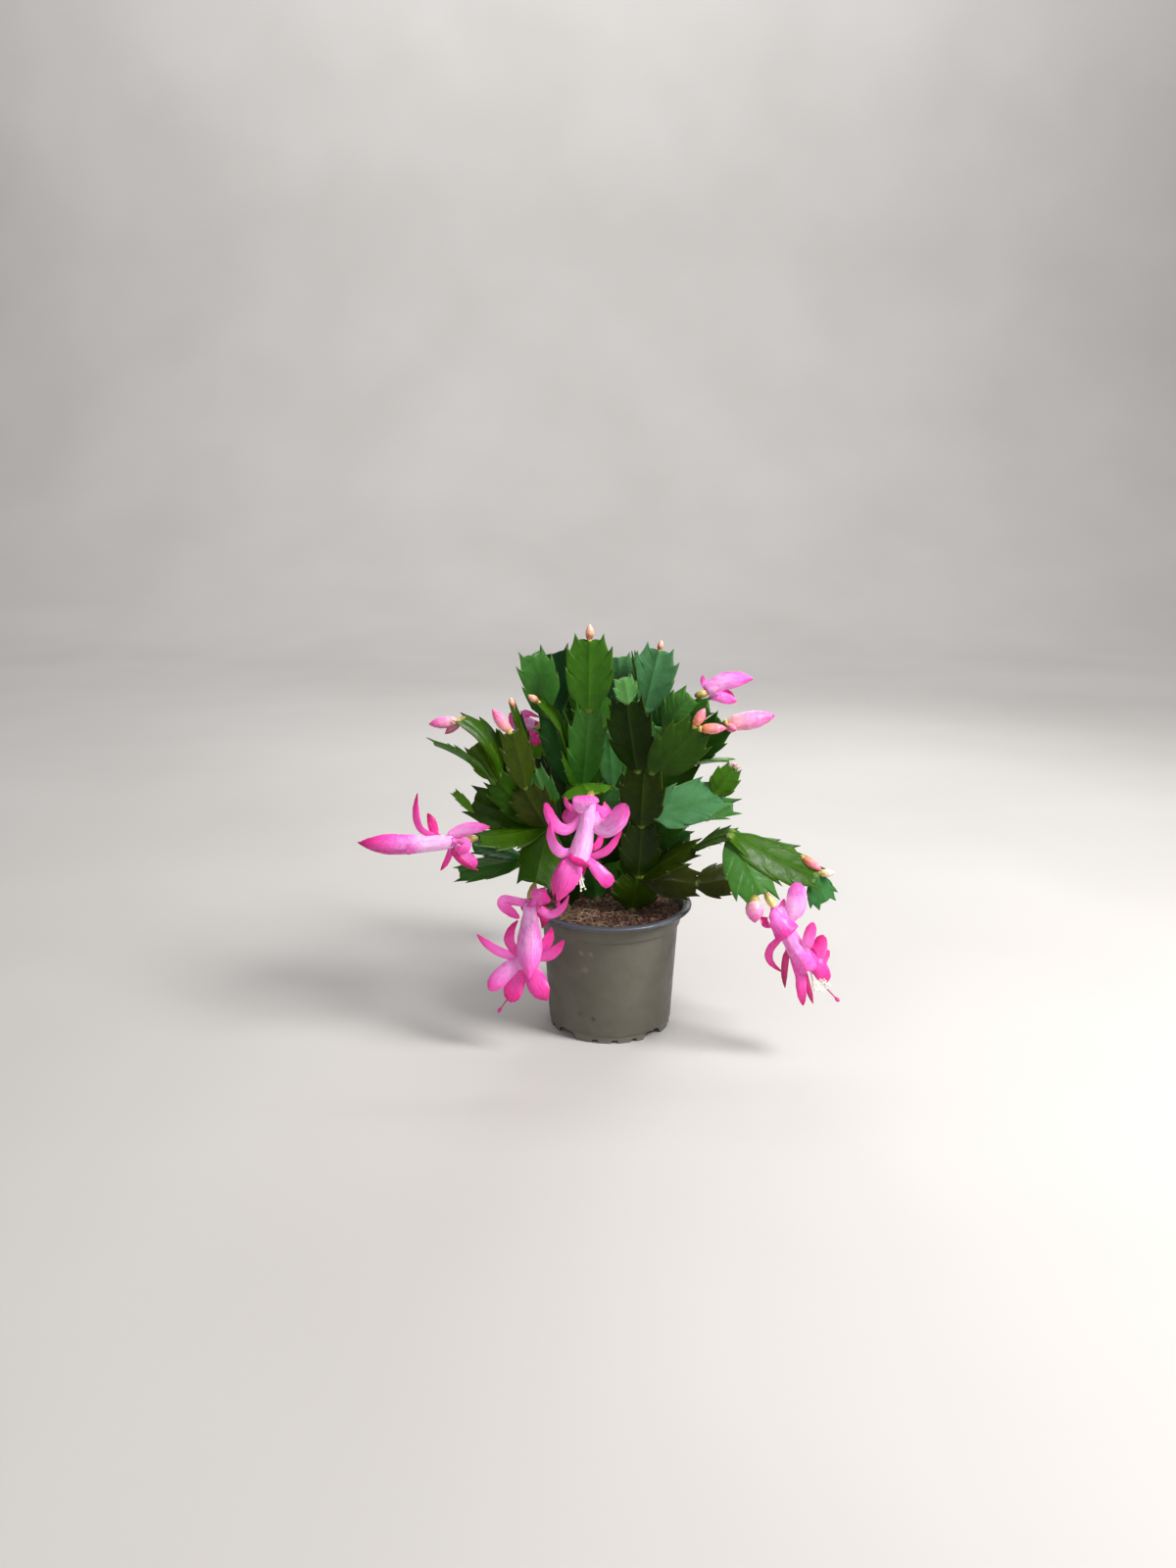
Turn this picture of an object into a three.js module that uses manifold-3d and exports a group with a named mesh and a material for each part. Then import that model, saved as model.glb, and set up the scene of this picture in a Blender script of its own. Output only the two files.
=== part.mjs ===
// A potted Christmas cactus (Schlumbergera truncata) in flower, in millimetres, +Z up, seen from -Y.
// Five rooted plants stand in peat in a thin nursery pot. Each is made of chains of flat toothed
// segments that grow from the tip of the one before, with buds and blooms at the outer tips.
import * as THREE from "three";
import { mergeVertices } from "three/addons/utils/BufferGeometryUtils.js";
import Module from "manifold-3d";

const wasm = await Module();
wasm.setup();

// ---------------------------------------------------------------- driving dimensions
const GAP = 0.3; // between pieces that touch
const POT = {
  height: 82,
  rimRadius: 52.5,
  rimDrop: 3.6, // height of the rim's turned-down lip
  wall: 1.2,
  topRadius: 46, // outside of the wall under the rim
  footRadius: 39.6,
  footHeight: 4.9,
  shoulder: 69, // height of the small step round the wall
  step: 0.7,
  floor: 5.4, // height of the floor's underside
  sides: 40,
};
const NOTCH = {
  first: 51.6, // degrees from +X towards -Y, of one wide notch
  wide: 15.5,
  wideHeight: 4.9,
  small: 3.8,
  smallHeight: 1.9,
  pitch: 18.3, // degrees between the small notches
};
const SOIL = { level: 75, edge: 9, heap: 3.4, seed: 11, rings: 4, sides: 20 };
const SEGMENT = {
  rib: 1.15, // half thickness along the middle
  edge: 0.42, // half thickness of the toothed edge
  root: 2.4, // how far it sinks into the one that it grows from
  collar: 0.17, // half width there, as a share
  joint: 0.965, // where along a segment the next ones start
  tip: 0.985, // and the buds and blooms
};
const STUB = { depth: 22, radius: 3.4 }; // the woody stem below the first segment

// Half outline of a segment: [share of its length, share of its half width], base to tip.
// Forward-pointing teeth come in pairs of a point and the notch in front of it.
const OUTLINES = [
  [
    [0.22, 0.64], [0.52, 1.05], [0.49, 0.84], [0.8, 1.02], [0.75, 0.78],
    [1.07, 0.66], [0.97, 0.44],
  ],
  [
    [0.25, 0.7], [0.58, 1.03], [0.54, 0.84], [0.86, 0.96], [0.8, 0.74],
    [1.04, 0.56], [0.96, 0.4],
  ],
  [
    [0.2, 0.6], [0.45, 1.02], [0.42, 0.84], [0.76, 1.06], [0.71, 0.82],
    [1.05, 0.78], [0.96, 0.5],
  ],
];
// Fewer teeth where others stand in front, and on the plant at the back.
const PLAIN_OUTLINES = [
  [[0.24, 0.72], [0.66, 1.06], [0.61, 0.82], [1.05, 0.72], [0.96, 0.46]],
  [[0.3, 0.8], [0.74, 1.02], [0.68, 0.8], [1.04, 0.6], [0.95, 0.42]],
];
const SPINE = [0.4, 0.88];

// ---------------------------------------------------------------- the rooted plants
// Places are [right of the pot's axis, behind it, above the surface that it stands on].
// Segment: [name, what it grows from, tip, width, way its face looks, arch, sideways start].
const FRONT = [
  ["f1", "root", [17, -12, 103], 28, [0, -1, 0.2], 1],
  ["f2", "f1", [19, -18, 138], 25, [0.1, -1, 0.1], 1],
  ["f3", "f2", [20, -24, 174], 27, [-0.2, -1, 0], 2],
  ["f4", "f3", [10, -28, 215], 27, [-0.3, -1, -0.1], 2, -0.5],
  ["f5", "f3", [51, -34, 203], 31, [0.2, -1, -0.2], 2, 0.6],
  ["f6", "f4", [6, -32, 232], 14, [0.2, -1, 0.2], 1],
  ["arm1", "f1", [53, -25, 125], 24, [-0.5, -0.8, 0.7], 3, 0.6],
  ["arm2", "arm1", [73, -38, 137], 22, [-0.6, 0.3, 1], 1],
  ["arm3", "arm2", [89, -58, 105], 30, [0.3, -1, 0.5], -2, -0.5],
  ["arm4", "arm2", [116, -26, 121], 24, [0.2, -0.6, 1], -3, 0.5],
  ["arm5", "arm2", [125, -44, 112], 25, [0.2, -0.8, 0.8], -3, 0.1],
  ["arm6", "arm5", [132, -46, 92], 22, [0.4, -1, 0.5], -1],
  ["low1", "f1", [56, -2, 94], 22, [0, -1, 0.4], 2, 0.4],
  ["low2", "low1", [81, 4, 96], 22, [0.1, -1, 0.3], 1],
  ["side1", "f2", [68, -18, 157], 27, [0.2, -1, 0.6], 2, 0.7],
  ["side2", "side1", [76, -20, 174], 16, [-0.2, -1, 0.1], 1],
];
const CENTRE = [
  ["c1", "root", [-13, 12, 105], 26, [0, -1, 0.2], 1],
  ["c2", "c1", [-17, 2, 135], 24, [0, -1, 0.2], 1],
  ["c3", "c2", [-18, -10, 162], 24, [0, -1, 0.3], 1],
  ["c4", "c3", [-14, -22, 212], 22, [0.1, -1, 0.1], 1],
  ["c5", "c4", [-13, -24, 252], 27, [0, -1, 0], 1],
  ["c6", "c3", [-13, -58, 169], 28, [-0.3, -0.4, 1], -2],
  ["d1", "c3", [-37, -4, 206], 23, [-0.3, -1, 0], 2, -0.5],
  ["d2", "d1", [-50, -10, 244], 26, [0.5, -1, 0], 2, -0.4],
  ["d3", "d1", [-36, 12, 242], 28, [-0.5, -1, 0], 2, 0.5],
  ["d4", "c3", [-42, 5, 197], 15, [-0.2, -1, 0], 1, -0.9],
  ["e1", "c3", [-28, -15, 185], 15, [0.9, -0.8, 0], 1, -0.7],
  ["e2", "e1", [-45, -21, 216], 17, [1, -0.55, 0.3], 3],
  ["g1", "c2", [1, -2, 160], 20, [0.1, -1, 0], 1, 0.6],
  ["g2", "g1", [-2, -8, 196], 16, [0.2, -1, 0], 1],
];
const LEFT = [
  ["l1", "root", [-32, -5, 114], 25, [-0.3, -1, 0.2], 1],
  ["l2", "l1", [-39, -26, 139], 25, [-0.2, -0.8, 0.4], 1],
  ["l3", "l2", [-47, -42, 107], 26, [0, -1, 0.1], -2],
  ["l4", "l2", [-81, -45, 137], 22, [0, -0.5, 1], -2, -0.4],
  ["l5", "l2", [-53, -34, 166], 28, [-0.2, -1, 0.1], 2],
  ["l6", "l5", [-61, -40, 201], 23, [0.5, -1, 0.1], 2],
  ["l7", "l2", [-48, -21, 174], 17, [0.3, -1, 0.1], 1, 0.6],
  ["l8", "l7", [-60, -20, 213], 11, [1, -0.5, 0], 1],
  ["k1", "l1", [-48, -6, 136], 22, [-0.3, -1, 0.2], 1, -0.5],
  ["k2", "k1", [-87, -12, 152], 26, [-0.2, -1, 0.6], 2, -0.5],
  ["k4", "k1", [-72, -22, 169], 22, [-0.3, -1, 0.4], 2, 0.5],
  ["k5", "k4", [-108, -28, 192], 18, [-0.2, 0.1, 1], 3, -0.4],
  ["k6", "k4", [-84, -24, 190], 17, [0.3, -1, 0.3], 1],
  ["k7", "k4", [-93, -16, 204], 22, [0.9, -0.5, 0.6], 6, 0.5],
  ["k8", "k1", [-66, -14, 181], 20, [-0.2, -1, 0.1], 1, 0.8],
  ["n1", "l1", [-58, -6, 111], 20, [-0.2, -0.6, 0.8], 1, -0.7],
  ["n2", "n1", [-97, -12, 104], 21, [0, -0.7, 0.9], 1, -0.3],
  ["n3", "n1", [-87, -20, 124], 17, [0, -0.6, 1], 1, 0.5],
];
const BACK = [
  ["s1", "root", [21, 22, 112], 26, [0.1, -1, 0.2], 1],
  ["s2", "s1", [25, 18, 142], 25, [0, -1, 0], 1],
  ["s3", "s2", [23, 12, 174], 24, [0, -1, 0.1], 1],
  ["s4", "s3", [21, 8, 206], 22, [0, -1, 0.1], 1, -0.3],
  ["s5", "s4", [30, 4, 245], 28, [-0.2, -1, 0.1], 1],
  ["s6", "s4", [14, 12, 240], 16, [1, -0.2, 0], 1, -0.7],
  ["s7", "s3", [7, 22, 207], 22, [0, -1, 0.2], 1, -0.7],
  ["s8", "s7", [5, 25, 238], 24, [-0.2, -1, 0.1], 1],
  ["t1", "s3", [34, 2, 196], 22, [0.2, -1, 0.2], 1, 0.6],
  ["t2", "t1", [52, -4, 217], 23, [-0.4, -1, 0.5], 2],
  ["t3", "t1", [60, -14, 212], 19, [-0.5, -1, 0.8], 2, 0.6],
  ["v1", "s2", [49, 8, 174], 22, [0.1, -1, 0.2], 1, 0.6],
  ["v2", "v1", [70, -4, 200], 22, [-0.4, -1, 0.3], 1],
  ["v3", "v1", [74, -4, 176], 18, [0, 0.15, 1], 1, 0.6],
  ["x1", "s1", [42, 2, 139], 22, [0, -1, 0.5], 1, 0.7],
  ["x2", "x1", [72, -4, 137], 22, [0, -0.4, 1], 1],
  ["x4", "s1", [55, 10, 123], 20, [0, -0.2, 1], 1, 0.9],
];
const REAR = [
  ["r1", "root", [-2, 46, 106], 27, [0, 1, 0.3], 1],
  ["r2", "r1", [-4, 56, 142], 26, [0, 1, 0.2], 1],
  ["r3", "r2", [-8, 58, 180], 26, [0.2, 1, 0.1], 1],
  ["r4", "r3", [-16, 54, 222], 29, [-0.2, 1, 0.1], 2, -0.3],
  ["r5", "r3", [22, 66, 208], 26, [0.3, 1, 0.2], 2, 0.6],
  ["r6", "r2", [32, 72, 158], 25, [0.3, 1, 0.5], 3, 0.7],
  ["r7", "r6", [46, 92, 138], 25, [0.4, 0.6, 1], 3],
  ["r8", "r7", [42, 102, 106], 25, [0.2, 1, 0.3], 1],
  ["r9", "r6", [60, 62, 180], 23, [0.2, 1, 0.3], 2, 0.6],
  ["r10", "r2", [-36, 74, 158], 25, [-0.3, 1, 0.5], 3, -0.7],
  ["r11", "r10", [-48, 90, 138], 25, [-0.5, 0.6, 1], 3],
  ["r12", "r11", [-40, 98, 104], 23, [-0.2, 1, 0.2], 1],
  ["r13", "r10", [-58, 58, 182], 24, [-0.5, 1, 0.4], 2, -0.5],
  ["r14", "r1", [6, 82, 116], 24, [0, 0.5, 1], 3, 0.5],
  ["r15", "r14", [4, 108, 104], 24, [0.1, 0.8, 0.8], 2],
  ["r16", "r3", [-42, 60, 206], 23, [-0.4, 1, 0.3], 2, -0.7],
];
const PLANTS = {
  front: { root: [14, -5], rows: FRONT, plain: ["f1", "f2", "arm1", "low1", "side2"] },
  centre: { root: [-9, 17], rows: CENTRE, plain: ["c1", "c2", "c3", "c6", "e1", "g1", "d4"] },
  left: { root: [-28, 3], rows: LEFT, plain: ["l1", "l2", "l7", "l8", "k1", "n1"] },
  back: { root: [17, 25], rows: BACK, plain: ["s1", "s2", "s3", "s4", "s7", "t1", "v1", "x1"] },
  rear: { root: [-4, 38], rows: REAR, plain: REAR.map(([name]) => name) },
};

// Bud: [name, plant, segment, way it points, length, radius, sideways place].
const BUDS = [
  ["top", "centre", "c5", [0, 0, 1], 9, 2.4, 0],
  ["crown", "back", "s5", [0.2, 0, 1], 6.5, 1.9, 0],
  ["peach", "centre", "e2", [-0.8, -0.1, 0.6], 8, 2.2, 0],
  ["pink", "left", "l6", [-0.7, -0.2, 1], 17, 3.5, -0.5],
  ["amber", "left", "l8", [-0.3, 0, 1], 7, 1.9, 0],
  ["pale", "left", "k7", [-1, -0.1, -0.1], 18, 3.7, -0.3],
  ["dusk", "left", "k7", [-0.7, 0.1, -1], 13, 2.9, 0.4],
  ["coral", "front", "f5", [0.55, -0.1, 1], 14, 3.2, -0.35],
  ["salmon", "front", "f5", [1, -0.1, 0.05], 17, 3.4, 0.3],
  ["young", "back", "v2", [0.6, -1, -0.1], 10, 2.7, 0.5],
  ["long", "back", "v2", [1, 0, 0.12], 31, 5, 0.3],
  ["fat", "front", "arm3", [0, -0.3, -1], 18, 5.2, 0.8],
  ["rose", "front", "arm4", [1, 0.1, -0.25], 14, 2.9, 0],
  ["cream", "front", "arm5", [1, -0.3, 0.4], 9, 2.5, -0.8],
  ["rear_tip", "rear", "r4", [0, 0.2, 1], 9, 2.4, 0],
  ["rear_side", "rear", "r9", [0.6, 0.3, 1], 15, 3.3, 0.2],
];

// Petal: [share along the tube where it leaves, point it bends by, tip, width, way it faces].
const BLOOMS = {
  centre: {
    on: ["centre", "c6"],
    neck: [-14, -60, 165],
    bend: [-14, -63, 150],
    mouth: [-20, -66, 132],
    radius: 5.2,
    petals: [
      [0.14, [-25, -68, 156], [-20, -66, 169], 9, [-0.5, -1, 0.3]],
      [0.09, [-15, -78, 157], [-16, -69, 170], 11, [0, -1, 0.4]],
      [0.11, [-6, -68, 157], [-11, -66, 170], 9, [0.5, -1, 0.3]],
      [0.16, [-27, -62, 157], [-28, -62, 167], 4, [-0.3, -1, 0]],
      [0.2, [-32, -55, 146], [-26, -51, 157], 9, [-0.4, -1, 0]],
      [0.15, [-1, -57, 151], [-5, -54, 162], 8, [0.4, -1, 0.2]],
      [0.4, [-33, -66, 139], [-39, -64, 164], 7, [0, -1, 0.3]],
      [0.38, [-2, -72, 143], [7, -74, 166], 12, [0, -1, 0.2]],
      [0.95, [-38, -70, 131], [-36, -70, 155], 6, [-0.3, -1, 0]],
      [0.9, [-5, -58, 134], [-10, -57, 143], 6, [0.3, -1, 0]],
      [0.98, [-3, -70, 130], [5, -70, 150], 5, [0.2, -1, -0.3]],
      [0.96, [-10, -73, 128], [-2, -74, 119], 10, [0.2, -1, 0.2]],
      [0.95, [-25, -77, 126], [-32, -73, 108], 13, [0, -1, 0.1]],
      [0.97, [-37, -65, 121], [-35, -65, 107], 8, [-1, -0.6, 0]],
      [0.94, [-20, -56, 121], [-26, -59, 110], 10, [0, 1, 0]],
    ],
    stamens: [-20, -68, 113],
    stigma: [-33, -68, 102],
  },
  left: {
    on: ["left", "l4"],
    neck: [-93, -47, 136],
    bend: [-107, -49, 135],
    mouth: [-121, -50, 134],
    radius: 5,
    petals: [
      [0.1, [-90, -50, 146], [-73, -51, 146], 8, [0, -1, 0.2]],
      [0.1, [-82, -54, 138], [-92, -52, 129], 8, [0.2, -1, 0]],
      [0.1, [-91, -49, 127], [-81, -48, 122], 8, [0, -1, 0.3]],
      [0.12, [-97, -49, 126], [-103, -49, 118], 4, [-0.3, -1, 0]],
      [0.1, [-92, -38, 137], [-82, -34, 139], 8, [0, 1, 0.3]],
      [0.5, [-121, -49, 145], [-115, -49, 166], 5, [-0.5, -1, 0]],
      [0.45, [-107, -41, 144], [-111, -39, 151], 6, [0, -1, 0]],
      [0.92, [-131, -52, 143], [-144, -53, 138], 9, [0, -0.3, 1]],
      [0.9, [-132, -61, 135], [-149, -54, 136], 11, [0, -1, 0]],
      [0.95, [-134, -52, 122], [-151, -54, 137], 10, [0, -0.4, -1]],
      [0.93, [-134, -43, 133], [-148, -52, 137], 10, [0, 1, 0]],
    ],
  },
  low: {
    on: ["left", "l3"],
    neck: [-50, -43, 98],
    bend: [-50, -48, 79],
    mouth: [-52, -50, 58],
    radius: 5.6,
    petals: [
      [0.08, [-75, -46, 92], [-57, -49, 87], 5, [0, -1, 0.3]],
      [0.05, [-61, -47, 101], [-52, -49, 103], 5, [0, -1, 0.5]],
      [0.08, [-41, -39, 104], [-41, -35, 98], 7, [0.3, -1, 0.3]],
      [0.12, [-33, -45, 81], [-26, -50, 102], 5, [0.2, -1, 0]],
      [0.15, [-36, -41, 88], [-43, -38, 77], 7, [0.5, -1, 0]],
      [0.1, [-52, -32, 92], [-54, -28, 84], 8, [0, 1, 0]],
      [0.85, [-70, -50, 72], [-57, -48, 86], 6, [-0.5, -1, 0.2]],
      [0.9, [-71, -50, 64], [-82, -50, 78], 5, [0, -1, 0.3]],
      [0.8, [-38, -45, 69], [-38, -44, 80], 7, [0.2, -1, 0]],
      [0.9, [-37, -50, 63], [-29, -52, 75], 6, [0.2, -1, 0]],
      [0.9, [-66, -55, 55], [-75, -54, 43], 10, [0, -1, 0.3]],
      [0.95, [-60, -43, 43], [-63, -44, 30], 10, [-0.2, -1, 0]],
      [0.85, [-49, -60, 59], [-51, -59, 50], 8, [0, -1, 0.2]],
      [0.95, [-48, -59, 45], [-44, -58, 33], 10, [0.1, -1, 0]],
    ],
    stamens: [-55, -51, 42],
    stigma: [-70, -51, 27],
  },
  right: {
    on: ["front", "arm3", -0.5],
    neck: [96, -60, 99],
    bend: [105, -61, 81],
    mouth: [117, -62, 62],
    radius: 6,
    petals: [
      [0.06, [101, -60, 99], [102, -60, 104], 4, [0, -1, 0]],
      [0.2, [112, -64, 95], [109, -62, 116], 12, [0, -1, 0]],
      [0.1, [104, -69, 93], [113, -68, 84], 10, [0.4, -1, 0.4]],
      [0.2, [97, -52, 82], [90, -48, 88], 8, [-0.5, 1, 0]],
      [0.8, [116, -68, 77], [119, -67, 93], 7, [0, -1, 0]],
      [0.9, [128, -62, 68], [124, -60, 81], 8, [0.3, -1, 0]],
      [0.45, [87, -57, 62], [106, -55, 43], 5, [-0.3, -1, 0]],
      [0.75, [104, -54, 66], [106, -52, 54], 7, [-0.5, -1, 0]],
      [0.95, [112, -64, 50], [115, -63, 38], 5, [-0.2, -1, 0]],
      [0.97, [119, -56, 47], [124, -56, 33], 5, [0.2, -1, 0]],
      [0.95, [128, -54, 58], [132, -51, 68], 8, [0.5, -1, 0]],
    ],
    stamens: [129, -63, 45],
    stigma: [136, -67, 42],
  },
  upper: {
    on: ["back", "t2"],
    neck: [59, -6, 219],
    bend: [62, -6, 220],
    mouth: [66, -7, 220],
    radius: 4,
    petals: [
      [0.2, [56, -6, 224], [56, -6, 230], 4, [0, -1, 0]],
      [0.45, [66, -10, 234], [85, -8, 228], 12, [0, -1, 0]],
      [0.55, [68, -2, 231], [83, -4, 226], 11, [0, 1, 0.3]],
      [0.85, [70, -10, 214], [78, -9, 213], 8, [0, -1, 0]],
      [0.78, [70, -2, 215], [77, -3, 216], 8, [0, 1, 0]],
    ],
  },
  shy: {
    on: ["centre", "d4"],
    neck: [-48, 1, 198],
    bend: [-51, 0, 199],
    mouth: [-55, 0, 199],
    radius: 4,
    petals: [
      [0.8, [-57, -4, 196], [-62, -2, 206], 9, [0, -1, 0]],
      [0.5, [-60, -5, 210], [-44, -4, 203], 4, [0, -1, 0.3]],
      [0.4, [-52, -1, 188], [-44, 1, 186], 9, [0, -1, 0]],
      [0.8, [-58, 6, 198], [-64, 6, 203], 9, [0, 1, 0]],
    ],
  },
  rear_right: {
    on: ["rear", "r8"],
    neck: [41, 107, 97],
    bend: [40, 113, 84],
    mouth: [44, 117, 70],
    radius: 5.2,
    stamens: [47, 119, 52],
    stigma: [53, 121, 45],
  },
  rear_left: {
    on: ["rear", "r12"],
    neck: [-38, 103, 95],
    bend: [-36, 109, 82],
    mouth: [-40, 113, 68],
    radius: 5.2,
    stamens: [-43, 115, 50],
    stigma: [-49, 117, 43],
  },
};
// Rings of petals of a bloom that faces away: [share along the tube, count, how far out and how
// far along the petals bend, how far out and along they end, width].
const TIERS = [
  [0.1, 3, 13, -1, 9, -10, 9],
  [0.5, 3, 15, 6, 20, -10, 8],
  [0.95, 4, 7, 10, 17, 13, 10],
];

// ---------------------------------------------------------------- solids from geometry
const vec = (a) => new THREE.Vector3(...a);

function solidOf(geometry) {
  const bare = new THREE.BufferGeometry();
  bare.setAttribute("position", geometry.getAttribute("position"));
  bare.setIndex(geometry.getIndex());
  const merged = mergeVertices(bare, 1e-4);
  return new wasm.Manifold(
    new wasm.Mesh({
      numProp: 3,
      vertProperties: new Float32Array(merged.attributes.position.array),
      triVerts: new Uint32Array(merged.index.array),
    }),
  );
}

// A solid from points and triangles.
function solidFrom(points, triangles) {
  return new wasm.Manifold(
    new wasm.Mesh({
      numProp: 3,
      vertProperties: new Float32Array(points.flatMap((p) => [p.x, p.y, p.z])),
      triVerts: new Uint32Array(triangles.flat()),
    }),
  );
}

// The solids as one body. Small pockets that closing surfaces seal are filled, and scraps go.
function joined(solids) {
  const bodies = solids.reduce((sum, s) => sum.add(s)).decompose();
  return bodies.reduce((most, b) => (b.volume() > most.volume() ? b : most));
}

function meshOf(name, solid, material) {
  const m = solid.getMesh();
  const geometry = new THREE.BufferGeometry();
  geometry.setAttribute("position", new THREE.Float32BufferAttribute(m.vertProperties, 3));
  geometry.setIndex(new THREE.BufferAttribute(new Uint32Array(m.triVerts), 1));
  geometry.computeVertexNormals();
  const mesh = new THREE.Mesh(geometry, material);
  mesh.name = name;
  return mesh;
}

// ---------------------------------------------------------------- segments
// The frame of a segment: where it starts, along, across and the way its face looks.
function segmentFrame(start, tip, face) {
  const along = tip.clone().sub(start);
  const length = along.length();
  along.normalize();
  const normal = vec(face);
  normal.addScaledVector(along, -normal.dot(along)).normalize();
  const across = new THREE.Vector3().crossVectors(along, normal);
  return { start, along, across, normal, length };
}

// The point at share t of the length, share w of the half width and height h off the middle face.
function onSegment(s, t, w, h) {
  const lift = h + s.arch * 4 * t * (1 - t) + s.arch * 0.5 * w * w;
  return s.start
    .clone()
    .addScaledVector(s.along, t * s.length)
    .addScaledVector(s.across, (w * s.width) / 2)
    .addScaledVector(s.normal, lift);
}

// A flat segment: two faces that rise to a midrib, and a narrow wall round the toothed edge.
function segmentSolid(s, outline) {
  const rootShare = -SEGMENT.root / s.length;
  const right = [[rootShare, SEGMENT.collar], ...outline];
  const left = [...right].reverse().map(([t, w]) => [t, -w]);
  const loop = [...right, ...left];
  const spine = [rootShare, ...SPINE];
  const points = [];
  for (const side of [1, -1]) {
    for (const [t, w] of loop) points.push(onSegment(s, t, w, side * SEGMENT.edge));
    for (const t of spine) points.push(onSegment(s, t, 0, side * SEGMENT.rib));
  }
  const n = loop.length;
  const size = n + spine.length;
  const nearest = loop.map(([t]) => spine.filter((x) => x <= t + 0.08).length - 1);
  const triangles = [];
  const both = (a, b, c) => triangles.push([a, b, c], [c + size, b + size, a + size]);
  for (let i = 0; i + 1 < n; i++) {
    const rising = i < n / 2 - 1;
    const from = Math.max(...nearest.slice(0, i + 1));
    const ahead = Math.max(...nearest.slice(0, i + 2));
    let j = rising ? from : Math.max(...nearest.slice(i));
    const k = rising ? ahead : Math.max(...nearest.slice(i + 1));
    both(i, i + 1, n + j);
    for (; j !== k; j += Math.sign(k - j)) both(i + 1, n + j + Math.sign(k - j), n + j);
  }
  both(n - 1, 0, n);
  for (let i = 0; i < n; i++) {
    const next = (i + 1) % n;
    triangles.push([i, i + size, next + size], [i, next + size, next]);
  }
  return solidFrom(points, triangles);
}

// A closed loft through rings of equal count. A ring of one point is a tip.
function loftSolid(rings) {
  const points = rings.flat();
  const starts = rings.map((_, i) => rings.slice(0, i).reduce((sum, r) => sum + r.length, 0));
  const triangles = [];
  const cap = (start, count, flip) => {
    for (let i = 1; i + 1 < count; i++)
      triangles.push(flip ? [start, start + i + 1, start + i] : [start, start + i, start + i + 1]);
  };
  cap(starts[0], rings[0].length, true);
  for (let r = 0; r + 1 < rings.length; r++) {
    const [a, b] = [starts[r], starts[r + 1]];
    const n = rings[r].length;
    for (let i = 0; i < n; i++) {
      const j = (i + 1) % n;
      if (rings[r + 1].length === 1) triangles.push([a + i, a + j, b]);
      else triangles.push([a + i, a + j, b + j], [a + i, b + j, b + i]);
    }
  }
  const last = rings.length - 1;
  if (rings[last].length > 1) cap(starts[last], rings[last].length, false);
  return solidFrom(points, triangles);
}

// Two directions square to d: the first leans towards -Y, and the second is square to both.
function sidesOf(d) {
  const front = new THREE.Vector3(0, -1, 0).addScaledVector(d, d.y);
  if (front.lengthSq() < 0.04) front.set(0, 0, 1).addScaledVector(d, -d.z);
  front.normalize();
  return [front, new THREE.Vector3().crossVectors(front, d)];
}

// A ring of n points round the middle c, square to d.
function ring(c, d, radius, n) {
  const [front, right] = sidesOf(d);
  return Array.from({ length: n }, (_, i) => {
    const a = (i / n) * 2 * Math.PI;
    return c
      .clone()
      .addScaledVector(front, radius * Math.cos(a))
      .addScaledVector(right, -radius * Math.sin(a));
  });
}

// The woody stub that stands in the soil below a plant's first segment.
function stub([x, y], grow) {
  const { radius, depth } = STUB;
  const geometry = new THREE.CylinderGeometry(radius + grow, radius * 0.8 + grow, depth + grow, 6);
  geometry.rotateX(Math.PI / 2);
  geometry.translate(x, y, SOIL.level + SOIL.heap - (depth + grow) / 2);
  return solidOf(geometry);
}

function growPlant({ root, rows, plain }) {
  const segments = {};
  for (const [name, parent, tip, width, face, arch = 1, aside = 0] of rows) {
    const from = segments[parent];
    const start = from
      ? onSegment(from, SEGMENT.joint, aside * 0.55, 0)
      : vec([...root, SOIL.level + SOIL.heap]);
    segments[name] = { ...segmentFrame(start, vec(tip), face), width, arch };
  }
  const solids = Object.entries(segments).map(([name, s], i) => {
    const outlines = plain.includes(name) ? PLAIN_OUTLINES : OUTLINES;
    return segmentSolid(s, outlines[i % outlines.length]);
  });
  return { segments, solid: joined([stub(root, 0), ...solids]) };
}

// ---------------------------------------------------------------- buds and blooms
// The middle of a segment's tip, or a place aside of it.
const tipOf = (s, aside) => onSegment(s, SEGMENT.tip, aside * 0.4, 0);

const SEAT = 3; // how far inside the tip a bud's or an ovary's way out starts

// What make() builds, moved out of the tip until it stands clear of the plant, and the gap more.
function seated(plant, make) {
  let out = -SEAT;
  while (!plant.intersect(make(out)).isEmpty()) out += 0.1;
  return make(out + GAP);
}

// Radii along a bud, as [share of the length, share of the radius].
const BUD_SHAPE = [[0, 0.45], [0.2, 0.86], [0.5, 1], [0.84, 0.6]];

function budSolid(plant, segment, way, length, radius, aside) {
  const d = vec(way).normalize();
  const start = tipOf(plant.segments[segment], aside);
  return seated(plant.solid, (out) => {
    const at = (t) => start.clone().addScaledVector(d, out + t * length);
    return loftSolid([...BUD_SHAPE.map(([t, r]) => ring(at(t), d, r * radius, 6)), [at(1)]]);
  });
}

const OVARY_RADII = [1.3, 2.3, 2.5, 1.9];

// The ovary's end turns to face the tube, which goes on in the direction of out.
function ovarySolid(start, neck, out) {
  const d = neck.clone().sub(start);
  const last = OVARY_RADII.length - 1;
  const at = (i) => start.clone().addScaledVector(d, i / last);
  const way = (i) => d.clone().normalize().lerp(out, i / last).normalize();
  return loftSolid(OVARY_RADII.map((r, i) => ring(at(i), way(i), r, 5)));
}

// The tube's radii, as [share of its length, share of its radius].
const TUBE_SHAPE = [[0, 0.42], [0.12, 0.76], [0.55, 0.95], [1, 0.9]];

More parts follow.
